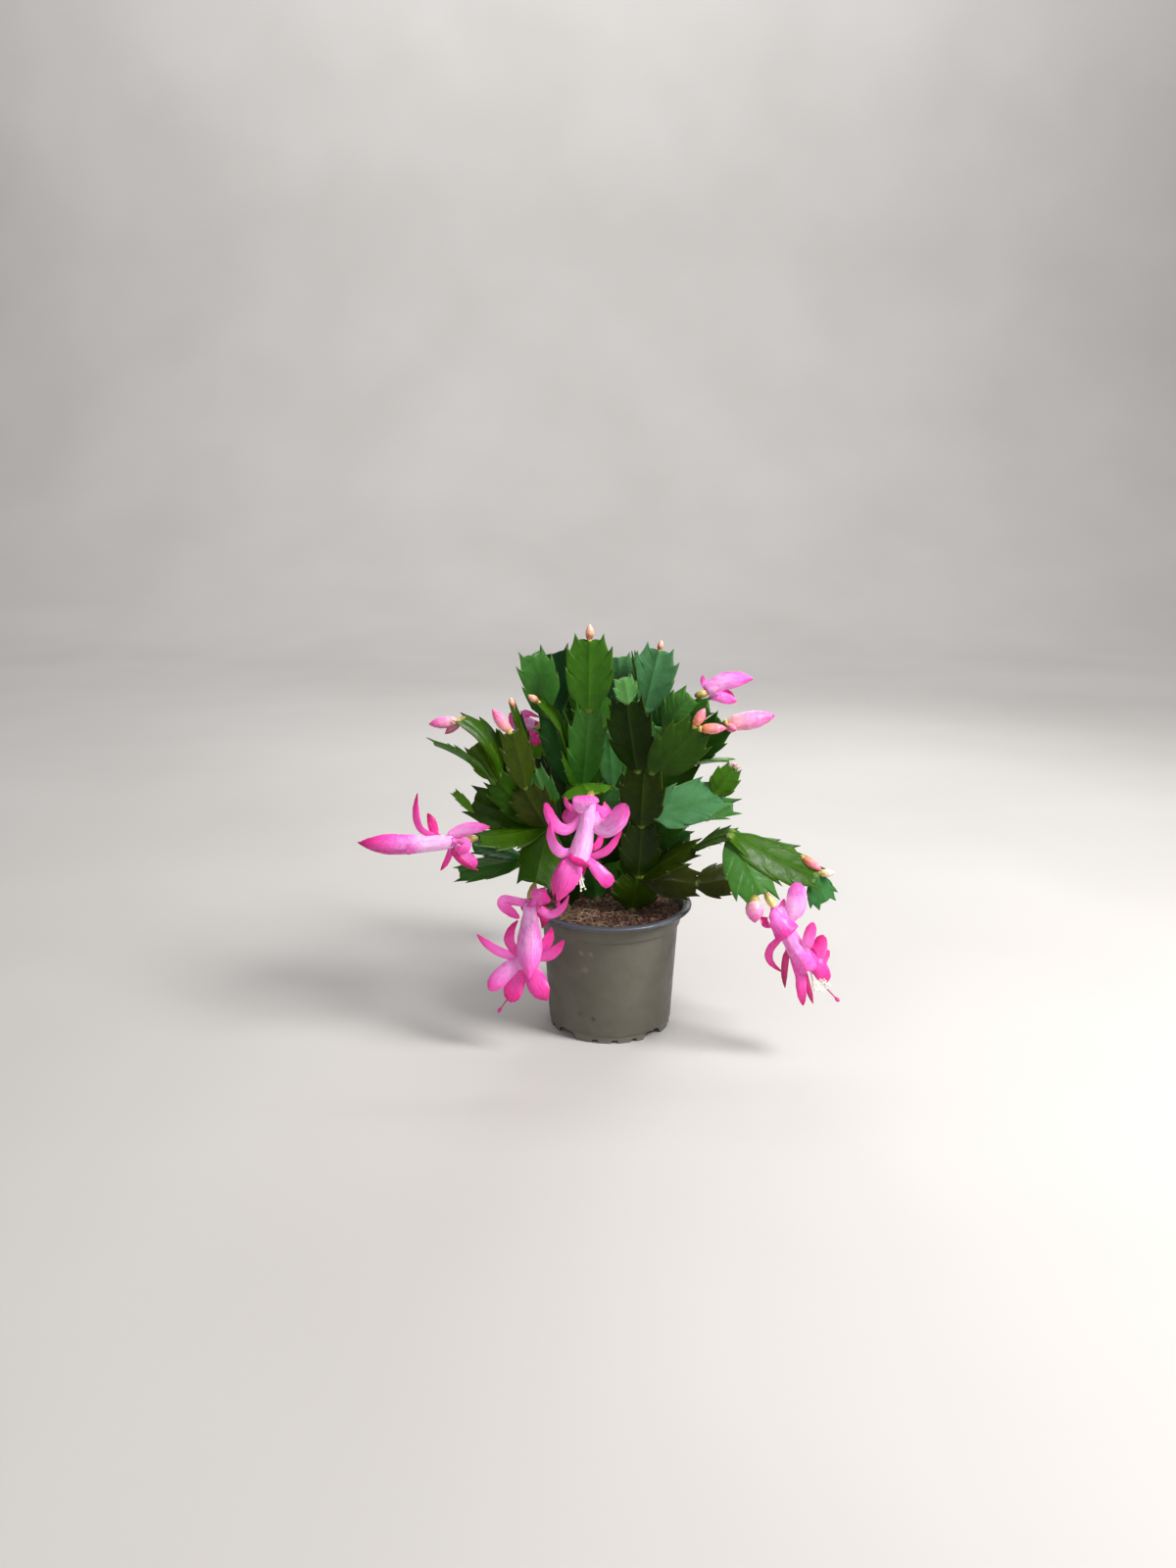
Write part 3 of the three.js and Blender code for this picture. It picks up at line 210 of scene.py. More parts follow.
# A bloom sits on [plant, segment, how far sideways on its tip]. Its tube's flare is at its neck, half way
# and its mouth. Ripe: how far its ovary has turned from green. Blush and fade: pink added to the whole
# tube, and at its mouth. Petal: share along the tube where it leaves, point it bends by, tip, width, way
# it faces, depth of pink, outline, how much its edges bend back. The depth of pink is partly the petal's
# own colour and partly painted shade, deeper on petals that lie behind the tube or in folds.
BLOOMS = {
    "centre": dict(
        on=["centre", "c6", 0], neck=[-14, -60, 165], bend=[-14, -63, 150], mouth=[-20, -66, 132],
        radius=5.2, flare=[0.78, 0.95, 1.22], ripe=0.3, stamens=[-22.5, -68.5, 114.5],
        stigma=[-33, -68, 102],
        petals=rows_of("""
0.09 -16 -72 161 -16 -67 169 15.5 0 -1 -0.6 0 broad 0.08
0.16 -27 -62 157 -28 -62 167 4 -0.3 -1 0 0.4
0.2 -32 -55 146 -26 -51 157 9 -0.4 -1 0 0.4
0.15 -1 -57 151 -5 -54 162 8 0.4 -1 0.2 0.4
0.4 -33 -66 139 -39 -64 164 7 0 -1 0.3 0.2 blunt
0.38 -2 -72 143 7 -74 166 12 0 -1 0.2 0 blunt
0.95 -38 -70 131 -36 -70 155 7 -0.3 -1 0 0.15
0.9 -4 -60 136 -8 -58 146 5 0.3 -1 0 0.6
0.98 -3 -70 130 5 -70 150 5.5 0.2 -1 -0.3 0.4
0.96 -10 -73 128 -1 -74 117 9 0.2 -1 0.2 0.3 cut
0.95 -25 -77 126 -32 -73 107 14 0 -1 0.1 0.32 lance 0.18
0.97 -37 -65 121 -35 -65 107 9 -1 -0.6 0 0.5
0.94 -20 -56 121 -26 -59 110 10 0 1 0 0.8
0.93 -27 -74 134 -13 -76 129 6 0.1 -1 0.5 0.75 lance 0.3
"""),
    ),
    "left": dict(
        on=["left", "l4", 0], neck=[-93, -47, 136], bend=[-107, -49, 135], mouth=[-121, -50, 134], radius=5,
        flare=[0.85, 0.95, 1], blush=-0.1, fade=0.5,
        petals=rows_of("""
0.1 -90 -50 146 -72.5 -51 145.5 8 0 -1 0.2 0
0.1 -82 -54 138 -92 -52 129 8 0.2 -1 0 0.2 blunt
0.1 -91 -49 127 -81 -48 121 9 0 -1 0.3 0.1 blunt
0.14 -93 -51 123 -80 -50 118.5 3.6 0 -1 -0.2 0.85
0.12 -97 -49 126 -103 -49 118 4 -0.3 -1 0 0.6
0.1 -92 -38 137 -82 -34 139 8 0 1 0.3 0.3
0.5 -121 -49 145 -115 -49 166 5 -0.5 -1 0 0.4
0.45 -107 -41 144 -111 -39 151 6 0 -1 0 0.7
0.89 -132 -52 144 -146 -53 138 10.5 0 -0.3 1 0.5 bulb 0.25
0.87 -133 -60 136 -150 -54 136.5 12 0 -1 0 0.48 bulb 0.3
0.89 -134 -52 124 -151 -54 137 11 0 -0.4 -1 0.65 bulb 0.25
0.88 -134 -43 133 -148 -52 137 12 0 1 0 0.6 bulb 0.3
"""),
    ),
    "low": dict(
        on=["left", "l3", 0], neck=[-50, -43, 98], bend=[-50, -48, 79], mouth=[-52, -50, 58], radius=5,
        flare=[0.8, 1, 1.2], ripe=0.35, stamens=[-52, -50, 50], stigma=[-70, -51, 27],
        petals=rows_of("""
0.05 -78 -47 103 -56 -50 88 7 0 -1 0.3 0.2 blunt
0.04 -46 -58 108 -37 -46 98 10 0.2 -1 0.5 0.35 blunt 0.2
0.08 -41 -39 104 -41 -35 98 7 0.3 -1 0.3 0.5
0.12 -33 -45 81 -26 -50 103 5.5 0.2 -1 0 0.25
0.15 -36 -41 88 -43 -38 77 8 0.5 -1 0 0.8
0.1 -52 -32 92 -54 -28 84 8 0 1 0 0.4
0.85 -70 -50 72 -57 -48 86 7 -0.5 -1 0.2 0.5
0.9 -71 -50 64 -82 -50 78 6 0 -1 0.3 0.25
0.75 -38 -45 66 -37 -44 80 8 0.2 -1 0 0.5
0.85 -37 -50 60 -29 -52 75 8 0.2 -1 0 0.4
0.9 -66 -55 55 -75 -54 43 11 0 -1 0.3 0.05 blunt 0.2
0.95 -60 -53 47 -62 -55 35.5 12 -0.2 -1 0 0.5 blunt
0.35 -50 -60 74 -50.5 -59 52 16 0 -1 0.1 0.05 lance 0.4
0.95 -46 -58 46 -39 -58 38 13 0.1 -1 0 0.5 lance 0.15
"""),
    ),
    "right": dict(
        on=["front", "arm3", -0.5], neck=[96, -60, 99], bend=[105, -61, 81], mouth=[117, -62, 62],
        radius=5.3, flare=[0.9, 1, 1.2], blush=0.18, fade=0.3, stamens=[127, -68, 50],
        stigma=[136, -68, 42],
        petals=rows_of("""
0.06 101 -60 99 102 -60 104 4 0 -1 0 0.2
0.2 112 -65 95 108 -62 115 12.5 0 -1 0 -0.15 blunt 0.15
0.02 95 -70 96 104 -72 85.5 15.5 0.1 -1 0.1 0.2 sheath 0.3
0.2 97 -52 82 90 -48 88 8 -0.5 1 0 0.5
0.75 116 -68 75 118 -67 92 7.5 0 -1 0 0.15 blunt
0.85 128 -64 66 124 -62 82 11 0.3 -1 0 0.5 blunt 0.2
0.45 86 -57 66 103 -56 56 5 -0.3 -1 0 0.5
0.62 103 -55 60 106 -53 44 4.5 -0.4 -1 0 0.9
0.86 113 -68 50 115 -65 38 6.5 -0.1 -1 0 0.45
0.97 119 -56 47 123 -56 35 4 0.2 -1 0 0.8
0.9 128 -56 56 131 -53 69 9 0.5 -1 0 0.35 blunt
0.86 127 -67 65 128 -66 53 10.5 0.4 -1 0.2 0.5 blunt 0.2
"""),
    ),
    "upper": dict(
        on=["back", "t2", 0], neck=[59, -6, 219], bend=[61, -6, 220], mouth=[64, -7, 220.5], radius=3.2,
        petals=rows_of("""
0.2 56 -6 224 56 -6 230 4 0 -1 0 0.1
0.3 68 -10 229 87 -8 228 11 0 -1 0.2 0 lance 0.2
0.4 70 -3 229 83 -4 227.5 11 0 1 0.3 0.25
0.35 69 -10 216.5 77 -9 214 7 0 -1 0.2 0.2
0.7 71 -2 218 76 -3 215 7 0 1 0 0.4
"""),
    ),
    "shy": dict(
        on=["centre", "d4", 0], neck=[-48, 1, 198], bend=[-51, 0, 199], mouth=[-55, 0, 199], radius=4,
        petals=rows_of("""
0.8 -58 -4 197 -63 -2 206 10 0 -1 0 0.2
0.5 -60 -5 210 -44 -4 203 4 0 -1 0.3 0.2
0.4 -52 -1 188 -44 1 186 9 0 -1 0 0.5
0.8 -58 6 198 -64 6 203 9 0 1 0 0.35
"""),
    ),
    "rear_right": dict(
        on=["rear", "r8", 0], neck=[41, 107, 97], bend=[40, 113, 84], mouth=[44, 117, 70], radius=5.2,
        stamens=[47, 119, 52], stigma=[53, 121, 45],
    ),
    "rear_left": dict(
        on=["rear", "r12", 0], neck=[-38, 103, 95], bend=[-36, 109, 82], mouth=[-40, 113, 68], radius=5.2,
        stamens=[-43, 115, 50], stigma=[-49, 117, 43],
    ),
}
# Petals of the blooms at the back, in tiers: [share along the tube, count, how far out and along the
# bend lies, how far out and along the tip lies, width].
TIERS = [[0.1, 3, 13, -1, 9, -10, 9], [0.5, 3, 15, 6, 20, -10, 8], [0.95, 4, 7, 10, 17, 13, 10]]
# Marks on the pot's wall: place, radius, colour.
MARKS = [
    [-11.4, -39.1, 16.9, 2.2, (0.02, 0.017, 0.012)], [-19.4, -36.0, 19.5, 2.6, (0.06, 0.052, 0.04)],
    [-18.8, -39.1, 61.0, 2.2, (0.24, 0.23, 0.2)], [-12.7, -41.5, 61.3, 2.0, (0.24, 0.23, 0.2)],
    [-16.3, -39.5, 50.1, 3.2, (0.2, 0.19, 0.16)],
]

low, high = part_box("pot")
AXIS = (low + high) / 2
MM = 0.001
TURN = 2 * math.pi
UP = Vector((0, 0, 1))


def place(p):
    """A point in mm from the pot's axis, as metres in the frame."""
    return Vector((p[0] * MM + AXIS.x, p[1] * MM + AXIS.y, p[2] * MM))


def polar(radius, angle, z=0.0):
    return Vector((radius * math.cos(angle), radius * math.sin(angle), z))


def unit(v):
    return Vector(v).normalized()


def any_way(rng):
    return Vector((rng.uniform(-1, 1), rng.uniform(-1, 1), rng.uniform(-1, 1)))


def square_to(v, d):
    """The part of v that is square to the direction d, at unit length."""
    v = Vector(v)
    return (v - d * v.dot(d)).normalized()


def smooth(x):
    x = min(1.0, max(0.0, x))
    return x * x * (3 - 2 * x)


def between(stops, t):
    """The value at t of a line through [place, value] stops, eased from one to the next."""
    for (a, p), (b, q) in zip(stops, stops[1:]):
        if t <= b:
            return p + (q - p) * smooth((t - a) / (b - a))
    return stops[-1][1]


def linked(name, data):
    """A new object in the scene."""
    made = bpy.data.objects.new(name, data)
    bpy.context.scene.collection.objects.link(made)
    return made


# ---------------------------------------------------------------- meshes
class Skin:
    """Points, faces and the values that the materials read at each point."""

    def __init__(self):
        self.points, self.faces = [], []
        self.values = {"along": [], "across": [], "tone": [], "shade": []}

    def add(self, p, along=0.0, across=0.0, tone=0.0, shade=0.5):
        self.points.append(p)
        for key, value in zip(self.values, (along, across, tone, shade)):
            self.values[key].append(value)
        return len(self.points) - 1

    def strip(self, a, b, closed=False):
        """Quads between two rows of point numbers, without corners that fall together."""
        n = len(a)
        for i in range(n if closed else n - 1):
            j = (i + 1) % n
            face = [a[i], a[j], b[j], b[i]]
            kept = [q for k, q in enumerate(face) if self.points[q] != self.points[face[k - 1]]]
            if len(kept) > 2:
                self.faces.append(kept)

    def loft(self, rows, closed=False, flip=False):
        for a, b in zip(rows, rows[1:]):
            if flip:
                a, b = b, a
            self.strip(a, b, closed)

    def fan(self, row, tip):
        for i in range(len(row)):
            self.faces.append([row[i], row[(i + 1) % len(row)], tip])

    def build(self, name, material, nodes=(), slot=None):
        mesh = bpy.data.meshes.new(name)
        mesh.from_pydata([place(p) for p in self.points], [], self.faces)
        for key, values in self.values.items():
            mesh.attributes.new(key, "FLOAT", "POINT").data.foreach_set("value", values)
        mesh.validate()
        mesh.materials.append(material)
        mesh.shade_smooth()
        piece = linked(name, mesh)
        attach(piece, "root")
        if nodes:
            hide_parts(*nodes)
        return piece


def sides_of(d):
    """Two directions square to d: towards the front, or up where d points there, and to its right."""
    front = Vector((0, -1, 0)) + d * d.y
    if front.length_squared < 0.04:
        front = Vector((0, 0, 1)) - d * d.z
    front.normalize()
    return front, front.cross(d)


def along_it(t, _):
    return {"along": t}


def round_rows(skin, stations, sides, value=lambda t, a: {}, lobes=lambda t, a: 1.0):
    """Rings round a line. Station: [middle, direction, radius, t]. Both ends close to a point."""
    rows = []
    for c, d, r, t in stations:
        front, right = sides_of(d)
        row = []
        for i in range(sides):
            a = i / sides * TURN
            q = r * lobes(t, a)
            p = c + front * (q * math.cos(a)) - right * (q * math.sin(a))
            row.append(skin.add(p, **value(t, a)))
        rows.append(row)
    skin.loft(rows, closed=True)
    for row, (c, d, r, t), out in ((rows[0][::-1], stations[0], -0.3), (rows[-1], stations[-1], 0.3)):
        skin.fan(row, skin.add(c + d * r * out, **value(t, 0)))


def knob(skin, start, d, profile, sides, size=1.0, **looks):
    """A small round body along d. Profile: [how far along, radius, t]."""
    round_rows(skin, [(start + d * (size * z), d, size * r, t) for z, r, t in profile], sides, **looks)


def thread(skin, points, radii, sides=5, **value):
    """A thin round thread along points, from its first radius to its last."""
    first, last = radii
    n = len(points) - 1
    stations = []
    for i, p in enumerate(points):
        d = unit(points[min(n, i + 1)] - points[max(0, i - 1)])
        stations.append((p, d, first + (last - first) * i / n, i / n))
    round_rows(skin, stations, sides, lambda t, a: {"along": t, **value})


def bezier(a, b, c, t):
    return a * (1 - t) ** 2 + b * (2 * t * (1 - t)) + c * t * t


def bezier_way(a, b, c, t):
    return ((b - a) * (1 - t) + (c - b) * t).normalized()


def spline(points, t):
    """A point at t from 0 to 1 of a smooth line through points."""
    n = len(points) - 1
    x = min(n - 1e-6, max(0.0, t * n))
    i = int(x)
    f = x - i
    p = [points[max(0, i - 1)], points[i], points[i + 1], points[min(n, i + 2)]]
    return (
        p[1] * 2 + (p[2] - p[0]) * f + (p[0] * 2 - p[1] * 5 + p[2] * 4 - p[3]) * f * f
        + (p[1] * 3 - p[0] - p[2] * 3 + p[3]) * f ** 3
    ) * 0.5


def curve(points, count):
    return [spline(points, k / (count - 1)) for k in range(count)]


# ---------------------------------------------------------------- the green segments
JOINT, JOINT_SPREAD = 0.965, 0.55  # where on a segment the next one starts
SEAT, SEAT_SPREAD = 0.985, 0.4  # and where a bud or a bloom sits
ROOT = 2.4  # how far a segment reaches back into what it grows from
SOIL_TOP = 78.4
# Shares from the midrib to the edge at which a blade has points. From ROUNDED on it thins to the edge.
BLADE = (0, 0.1, 0.25, 0.45, 0.65, 0.82, 0.93, 0.985, 1.0)
ROUNDED = 0.82


class Segment:
    def __init__(self, start, tip, face, width, arch):
        self.start, self.width, self.arch = start, width, arch
        along = tip - start
        self.length = along.length
        self.along = along.normalized()
        self.normal = square_to(face, self.along)
        self.across = self.along.cross(self.normal)

    def at(self, t, w, h):
        """A point at shares of the length and of the half width, and at a height over the blade."""
        lift = h + self.arch * 4 * t * (1 - t) + self.arch * 0.5 * w * w
        flat = self.start + self.along * (t * self.length) + self.across * (w * self.width / 2)
        return flat + self.normal * lift


def place_on(aside, share, spread):
    """A place on a segment: the one given, or sideways on its tip."""
    return aside if len(aside) == 3 else (share, sum(aside) * spread, 0)


def half_outline(keys, root, rng):
    """Points along one toothed edge, from base to tip.

    Point: share of the length, share of the half width, where its row meets the midrib, and how near
    it is to a notch and to a tooth, from 0 to 1.
    """
    keys = [[t + rng.uniform(-0.015, 0.015), w * rng.uniform(0.96, 1.04)] for t, w in keys]
    for i in TEETH:
        keys[i][0] += 0.025
    # The spine's points are kept in order, so that no row across the blade crosses the next one.
    spine = []
    for i, (t, w) in enumerate(keys):
        if i in TEETH:
            tn, wn = keys[i + 1]
            r = min(0.9, wn / w)
            spine.append(min(tn - 0.18 * wn - 0.05, (tn - 0.02 - t * r) / (1 - r)))
        else:
            spine.append(t - 0.18 * w)
    for i in range(1, len(spine)):
        spine[i] = max(spine[i], spine[i - 1] + 0.02)
    stops = [[root, 0.17, root]] + [[t, w, s] for (t, w), s in zip(keys, spine)] + [[JOINT, 0.0, 0.95]]
    last = len(stops) - 2
    points = []
    for i, (a, b) in enumerate(zip(stops, stops[1:])):
        to_tooth, to_notch = i in TEETH, i in NOTCHES
        if to_tooth:
            bend = (b[0] - 0.13, b[1] + 0.03)
        elif to_notch:
            bend = (b[0] + 0.02, a[1] - 0.06)
        else:
            bend = (0.05, 0.38) if i == 0 else (1.0, a[1] * 0.55)
        steps = 5 if to_notch else 7
        for k in range(steps + (i == last)):
            f = k / steps
            t, w = (a[n] * (1 - f) ** 2 + bend[n] * 2 * f * (1 - f) + b[n] * f * f for n in (0, 1))
            notch = tooth = 0.0
            if to_notch:
                notch, tooth = max(0.0, 1 - (1 - f) * 3), max(0.0, 1 - f * 2.5)
            else:
                if i - 1 in NOTCHES:
                    notch = max(0.0, 1 - f * 3)
                if to_tooth:
                    tooth = max(0.0, 1 - (1 - f) * 2.5)
            points.append((t, w, a[2] + (b[2] - a[2]) * f, notch, tooth))
    return points


def thickness(s, t, v, width, notch, root):
    """Half the thickness of a blade, at a share v and a distance from its midrib."""
    rib = 0.62 * math.exp(-((width / 1.5) ** 2))
    swell = 0.16 * notch * math.sin(math.pi * min(1.0, v * 1.06)) * (1 - math.exp(-((width / 2) ** 2)))
    foot = 0.5 * math.exp(-(((t - 0.02) * s.length / 1.8) ** 2))
    edge = math.sqrt(max(0.0, 1 - max(0.0, (v - ROUNDED) / (1 - ROUNDED)) ** 2))
    return (0.42 + 0.5 * (1 - v * v) + rib + swell + foot) * edge * smooth((t - root) * s.length / 1.5)


def ripple(wave, cup, t, w, v, side, tooth):
    """How far the blade's middle lies off its arch."""
    waves = wave[0] * math.sin(5 * t + wave[1] * 3) + wave[2] * math.sin(9 * t + wave[3] * 3) * w * side
    edge = 0.5 * wave[4] * v * v * tooth + 0.2 * wave[5] * math.sin(14 * t) * v ** 3
    return (0.24 * waves + edge + cup * w * w) * smooth(t * 3)


def segment_skin(skin, s, keys, rng, tone, shade):
    root = -ROOT / s.length
    wave = [rng.uniform(-1, 1) for _ in range(6)]
    cup = rng.uniform(-1.3, 1.6)
    halves = [half_outline(keys, root, rng) for _ in range(2)]
    # Both halves meet at the same points of the midrib.
    seam = [(one[2] + other[2]) / 2 for one, other in zip(*halves)]
    for side, half in zip((1, -1), halves):
        grid = {1: [], -1: []}
        for (t, w, _, notch, tooth), spine in zip(half, seam):
            for face in (1, -1):
                row = []
                for v in BLADE:
                    tt, ww = spine + (t - spine) * v, w * v
                    h = thickness(s, tt, v, ww * s.width / 2, notch, root) if v < 1 else 0.0
                    p = s.at(tt, ww * side, face * h + ripple(wave, cup, tt, ww, v, side, tooth))
                    row.append(skin.add(p, along=tt, across=v, tone=tone, shade=shade))
                grid[face].append(row)
        for face in (1, -1):
            skin.loft(grid[face], flip=face != side)


def bristles(skin, s, keys, rng, rich, tuft):
    """A few short hairs in each notch and at the tip, and a tuft of long ones there if asked for."""
    for _ in range(tuft):
        base = s.at(rng.uniform(0.94, 1.0), rng.uniform(-0.3, 0.3), rng.uniform(-0.4, 0.4))
        way = s.along * rng.uniform(0.4, 1.1) + s.across * rng.uniform(-0.9, 0.9)
        way += s.normal * rng.uniform(-0.7, 0.7)
        reach = way.normalized() * rng.uniform(1.8, 3.6)
        thread(skin, [base, base + reach * 0.6, base + reach], (0.4, 0.3), tone=rng.uniform(0.5, 1.0))
    for side in (1, -1):
        for t, w in [keys[i] for i in NOTCHES] + [[0.955, 0.06]]:
            base = s.at(t - 0.01, (w - 0.02) * side, 0)
            for _ in range(rich):
                way = s.along * rng.uniform(0.5, 1.2) + s.across * (side * rng.uniform(0.0, 0.8))
                way = (way + s.normal * rng.uniform(-0.6, 0.6)).normalized()
                reach = rng.uniform(0.9, 1.9)
                bend = base + way * reach * 0.6 + s.normal * rng.uniform(-0.2, 0.2)
                thread(skin, [base, bend, base + way * reach], (0.1, 0.045), 3, tone=rng.random())


ROOTS, GROWN = {}, {}
for label, *row in PLANTS:
    if label == "plant":
        name, *root = row
        segments = {}
        ROOTS[name], GROWN[name] = root, segments
    else:
        parent, tip, width, face, arch = row[0], Vector(row[1:4]), row[4], Vector(row[5:8]), row[8]
        start = Vector((*root, SOIL_TOP))
        if parent in segments:
            start = segments[parent].at(*place_on(row[9:], JOINT, JOINT_SPREAD))
        segments[label] = Segment(start, tip, face, width, arch)


# ---------------------------------------------------------------- materials
class Paint:
    """Short names for the nodes of one material."""

    def __init__(self, name, roughness=0.5, **sockets):
        self.made = bpy.data.materials.new(name)
        self.made.use_nodes = True
        self.nodes, self.links = self.made.node_tree.nodes, self.made.node_tree.links
        self.shader = self.nodes["Principled BSDF"]
        self.shader.inputs["Roughness"].default_value = roughness
        for key, value in sockets.items():
            self.shader.inputs[key.replace("_", " ")].default_value = value
        self.coords = self.nodes.new("ShaderNodeTexCoord").outputs["Object"]

    def feed(self, socket, x):
        """Sets a socket to a number or a colour, or links it."""
        if isinstance(x, (int, float)):
            socket.default_value = x
        elif isinstance(x, tuple):
            socket.default_value = (*x, 1)
        elif x is not None:
            self.links.new(x, socket)

    def value(self, name):
        node = self.nodes.new("ShaderNodeAttribute")
        node.attribute_name = name
        return node.outputs["Fac"]

    def noise(self, scale, detail=3.0, distortion=0.0, where=None):
        node = self.nodes.new("ShaderNodeTexNoise")
        self.links.new(where or self.coords, node.inputs["Vector"])
        node.inputs["Scale"].default_value = scale
        node.inputs["Detail"].default_value = detail
        node.inputs["Distortion"].default_value = distortion
        return node.outputs["Fac"]

    def math(self, kind, a, b=None):
        node = self.nodes.new("ShaderNodeMath")
        node.operation = kind
        for socket, x in zip(node.inputs, (a, b)):
            self.feed(socket, x)
        return node.outputs[0]

    def plus(self, a, b):
        return self.math("ADD", a, b)

    def times(self, a, b):
        return self.math("MULTIPLY", a, b)

    def swing(self, x, size):
        """A noise's distance from its middle, times a size."""
        return self.times(self.math("SUBTRACT", x, 0.5), size)

    def span(self, x, low, high, to_low=0.0, to_high=1.0):
        node = self.nodes.new("ShaderNodeMapRange")
        node.interpolation_type = "SMOOTHSTEP"
        for socket, v in zip(node.inputs[:5], (x, low, high, to_low, to_high)):
            self.feed(socket, v)
        return node.outputs[0]

    def ramp(self, x, stops):
        """Colours at places. Stop: (place, red, green, blue)."""
        node = self.nodes.new("ShaderNodeValToRGB")
        self.links.new(x, node.inputs[0])
        bar = node.color_ramp.elements
        while len(bar) < len(stops):
            bar.new(0.5)
        for element, (at, *colour) in zip(bar, stops):
            element.position = at
            element.color = (*colour, 1)
        return node.outputs[0]

    def mix(self, share, a, b, kind="MIX"):
        node = self.nodes.new("ShaderNodeMix")
        node.data_type = "RGBA"
        node.blend_type = kind
        for i, x in ((0, share), (6, a), (7, b)):
            self.feed(node.inputs[i], x)
        return node.outputs[2]

    def colour(self, x):
        self.links.new(x, self.shader.inputs["Base Color"])

    def rough(self, x):
        self.links.new(x, self.shader.inputs["Roughness"])

    def bump(self, x, strength=0.3, distance=0.0005):
        node = self.nodes.new("ShaderNodeBump")
        node.inputs["Strength"].default_value = strength
        node.inputs["Distance"].default_value = distance
        self.links.new(x, node.inputs["Height"])
        self.links.new(node.outputs[0], self.shader.inputs["Normal"])


def green_material():
    p = Paint("segment_green", 0.4, Specular_IOR_Level=0.11)
    tone, shade, along, across = (p.value(k) for k in ("tone", "shade", "along", "across"))
    # The shade value sets each segment's lightness: partly its own tone, partly painted shade and painted
    # sheen.
    cool = p.ramp(shade, [(0.1, 0.002, 0.016, 0.005), (0.5, 0.018, 0.105, 0.02), (1.0, 0.1, 0.28, 0.12)])
    warm = p.ramp(shade, [(0.1, 0.007, 0.016, 0.0003), (0.5, 0.034, 0.11, 0.001), (1.0, 0.12, 0.31, 0.008)])
    olive = p.ramp(shade, [(0.1, 0.007, 0.009, 0.0004), (0.5, 0.046, 0.062, 0.004), (1.0, 0.2, 0.22, 0.03)])
    base = p.mix(p.span(tone, 1.0, 2.0), p.mix(p.span(tone, -1.0, 1.0), cool, warm), olive)
    # Dark blotches, pale specks, and a paler rim, root and tip. The paler midrib is a painted highlight along
    # its ridge.
    dark = p.mix(1.0, base, (0.5, 0.6, 0.4), "MULTIPLY")
    base = p.mix(p.span(p.noise(140, 4, 0.6), 0.35, 0.7, 0.0, 0.5), base, dark)
    base = p.mix(p.span(p.noise(1500, 2), 0.6, 0.75, 0.0, 0.08), base, (0.1, 0.2, 0.04))
    base = p.mix(p.span(across, 0.95, 1.0, 0.0, 0.4), base, (0.14, 0.18, 0.02))
    ends = p.math("MAXIMUM", p.span(along, 0.06, 0.0), p.span(along, 0.93, 0.99, 0.0, 0.7))
    base = p.mix(p.times(ends, p.span(across, 0.6, 0.15)), base, (0.13, 0.2, 0.025))
    # Painted highlight: the midrib is paler.
    p.colour(p.mix(p.times(p.span(across, 0.1, 0.0), 0.12), base, (0.08, 0.17, 0.02)))
    p.rough(p.span(p.noise(260, 3), 0.3, 0.7, 0.27, 0.42))
    p.bump(p.plus(p.noise(900, 3), p.times(p.noise(160, 2), 2.0)), 0.25, 0.0004)
    return p.made


def petal_material():
    p = Paint(
        "petal_pink", 0.36, Specular_IOR_Level=0.45, Subsurface_Weight=0.3, Subsurface_Scale=0.0015,
        Subsurface_Radius=(1.0, 0.3, 0.6),
    )
    tone, along, across, lane = (p.value(k) for k in ("tone", "along", "across", "shade"))
    # Fine streaks that run along each petal.
    way = p.nodes.new("ShaderNodeCombineXYZ")
    for socket, x, size in zip(way.inputs, (lane, along, tone), (9.0, 1.6, 40.0)):
        p.feed(socket, p.times(x, size))
    vein = p.noise(1.0, where=way.outputs[0])
    streak = p.plus(p.swing(vein, 0.55), p.swing(p.noise(300, 2, 0.4), 0.2))
    edge = p.times(p.math("POWER", across, 3.0), 0.1)
    tip = p.times(p.math("POWER", along, 2.0), 0.42)
    base = p.plus(p.times(tone, 0.75), 0.09)
    pinks = [
        (0.0, 0.94, 0.6, 0.89), (0.16, 0.93, 0.4, 0.79), (0.34, 0.92, 0.18, 0.63),
        (0.58, 0.88, 0.06, 0.42), (0.82, 0.7, 0.015, 0.24), (1.0, 0.4, 0.004, 0.12),
    ]
    p.colour(p.ramp(p.plus(p.plus(edge, tip), p.plus(base, streak)), pinks))
    p.rough(p.span(p.noise(300, 2), 0.3, 0.7, 0.3, 0.45))
    p.bump(p.plus(vein, p.times(p.noise(500, 3), 0.6)), 0.25, 0.0003)
    return p.made


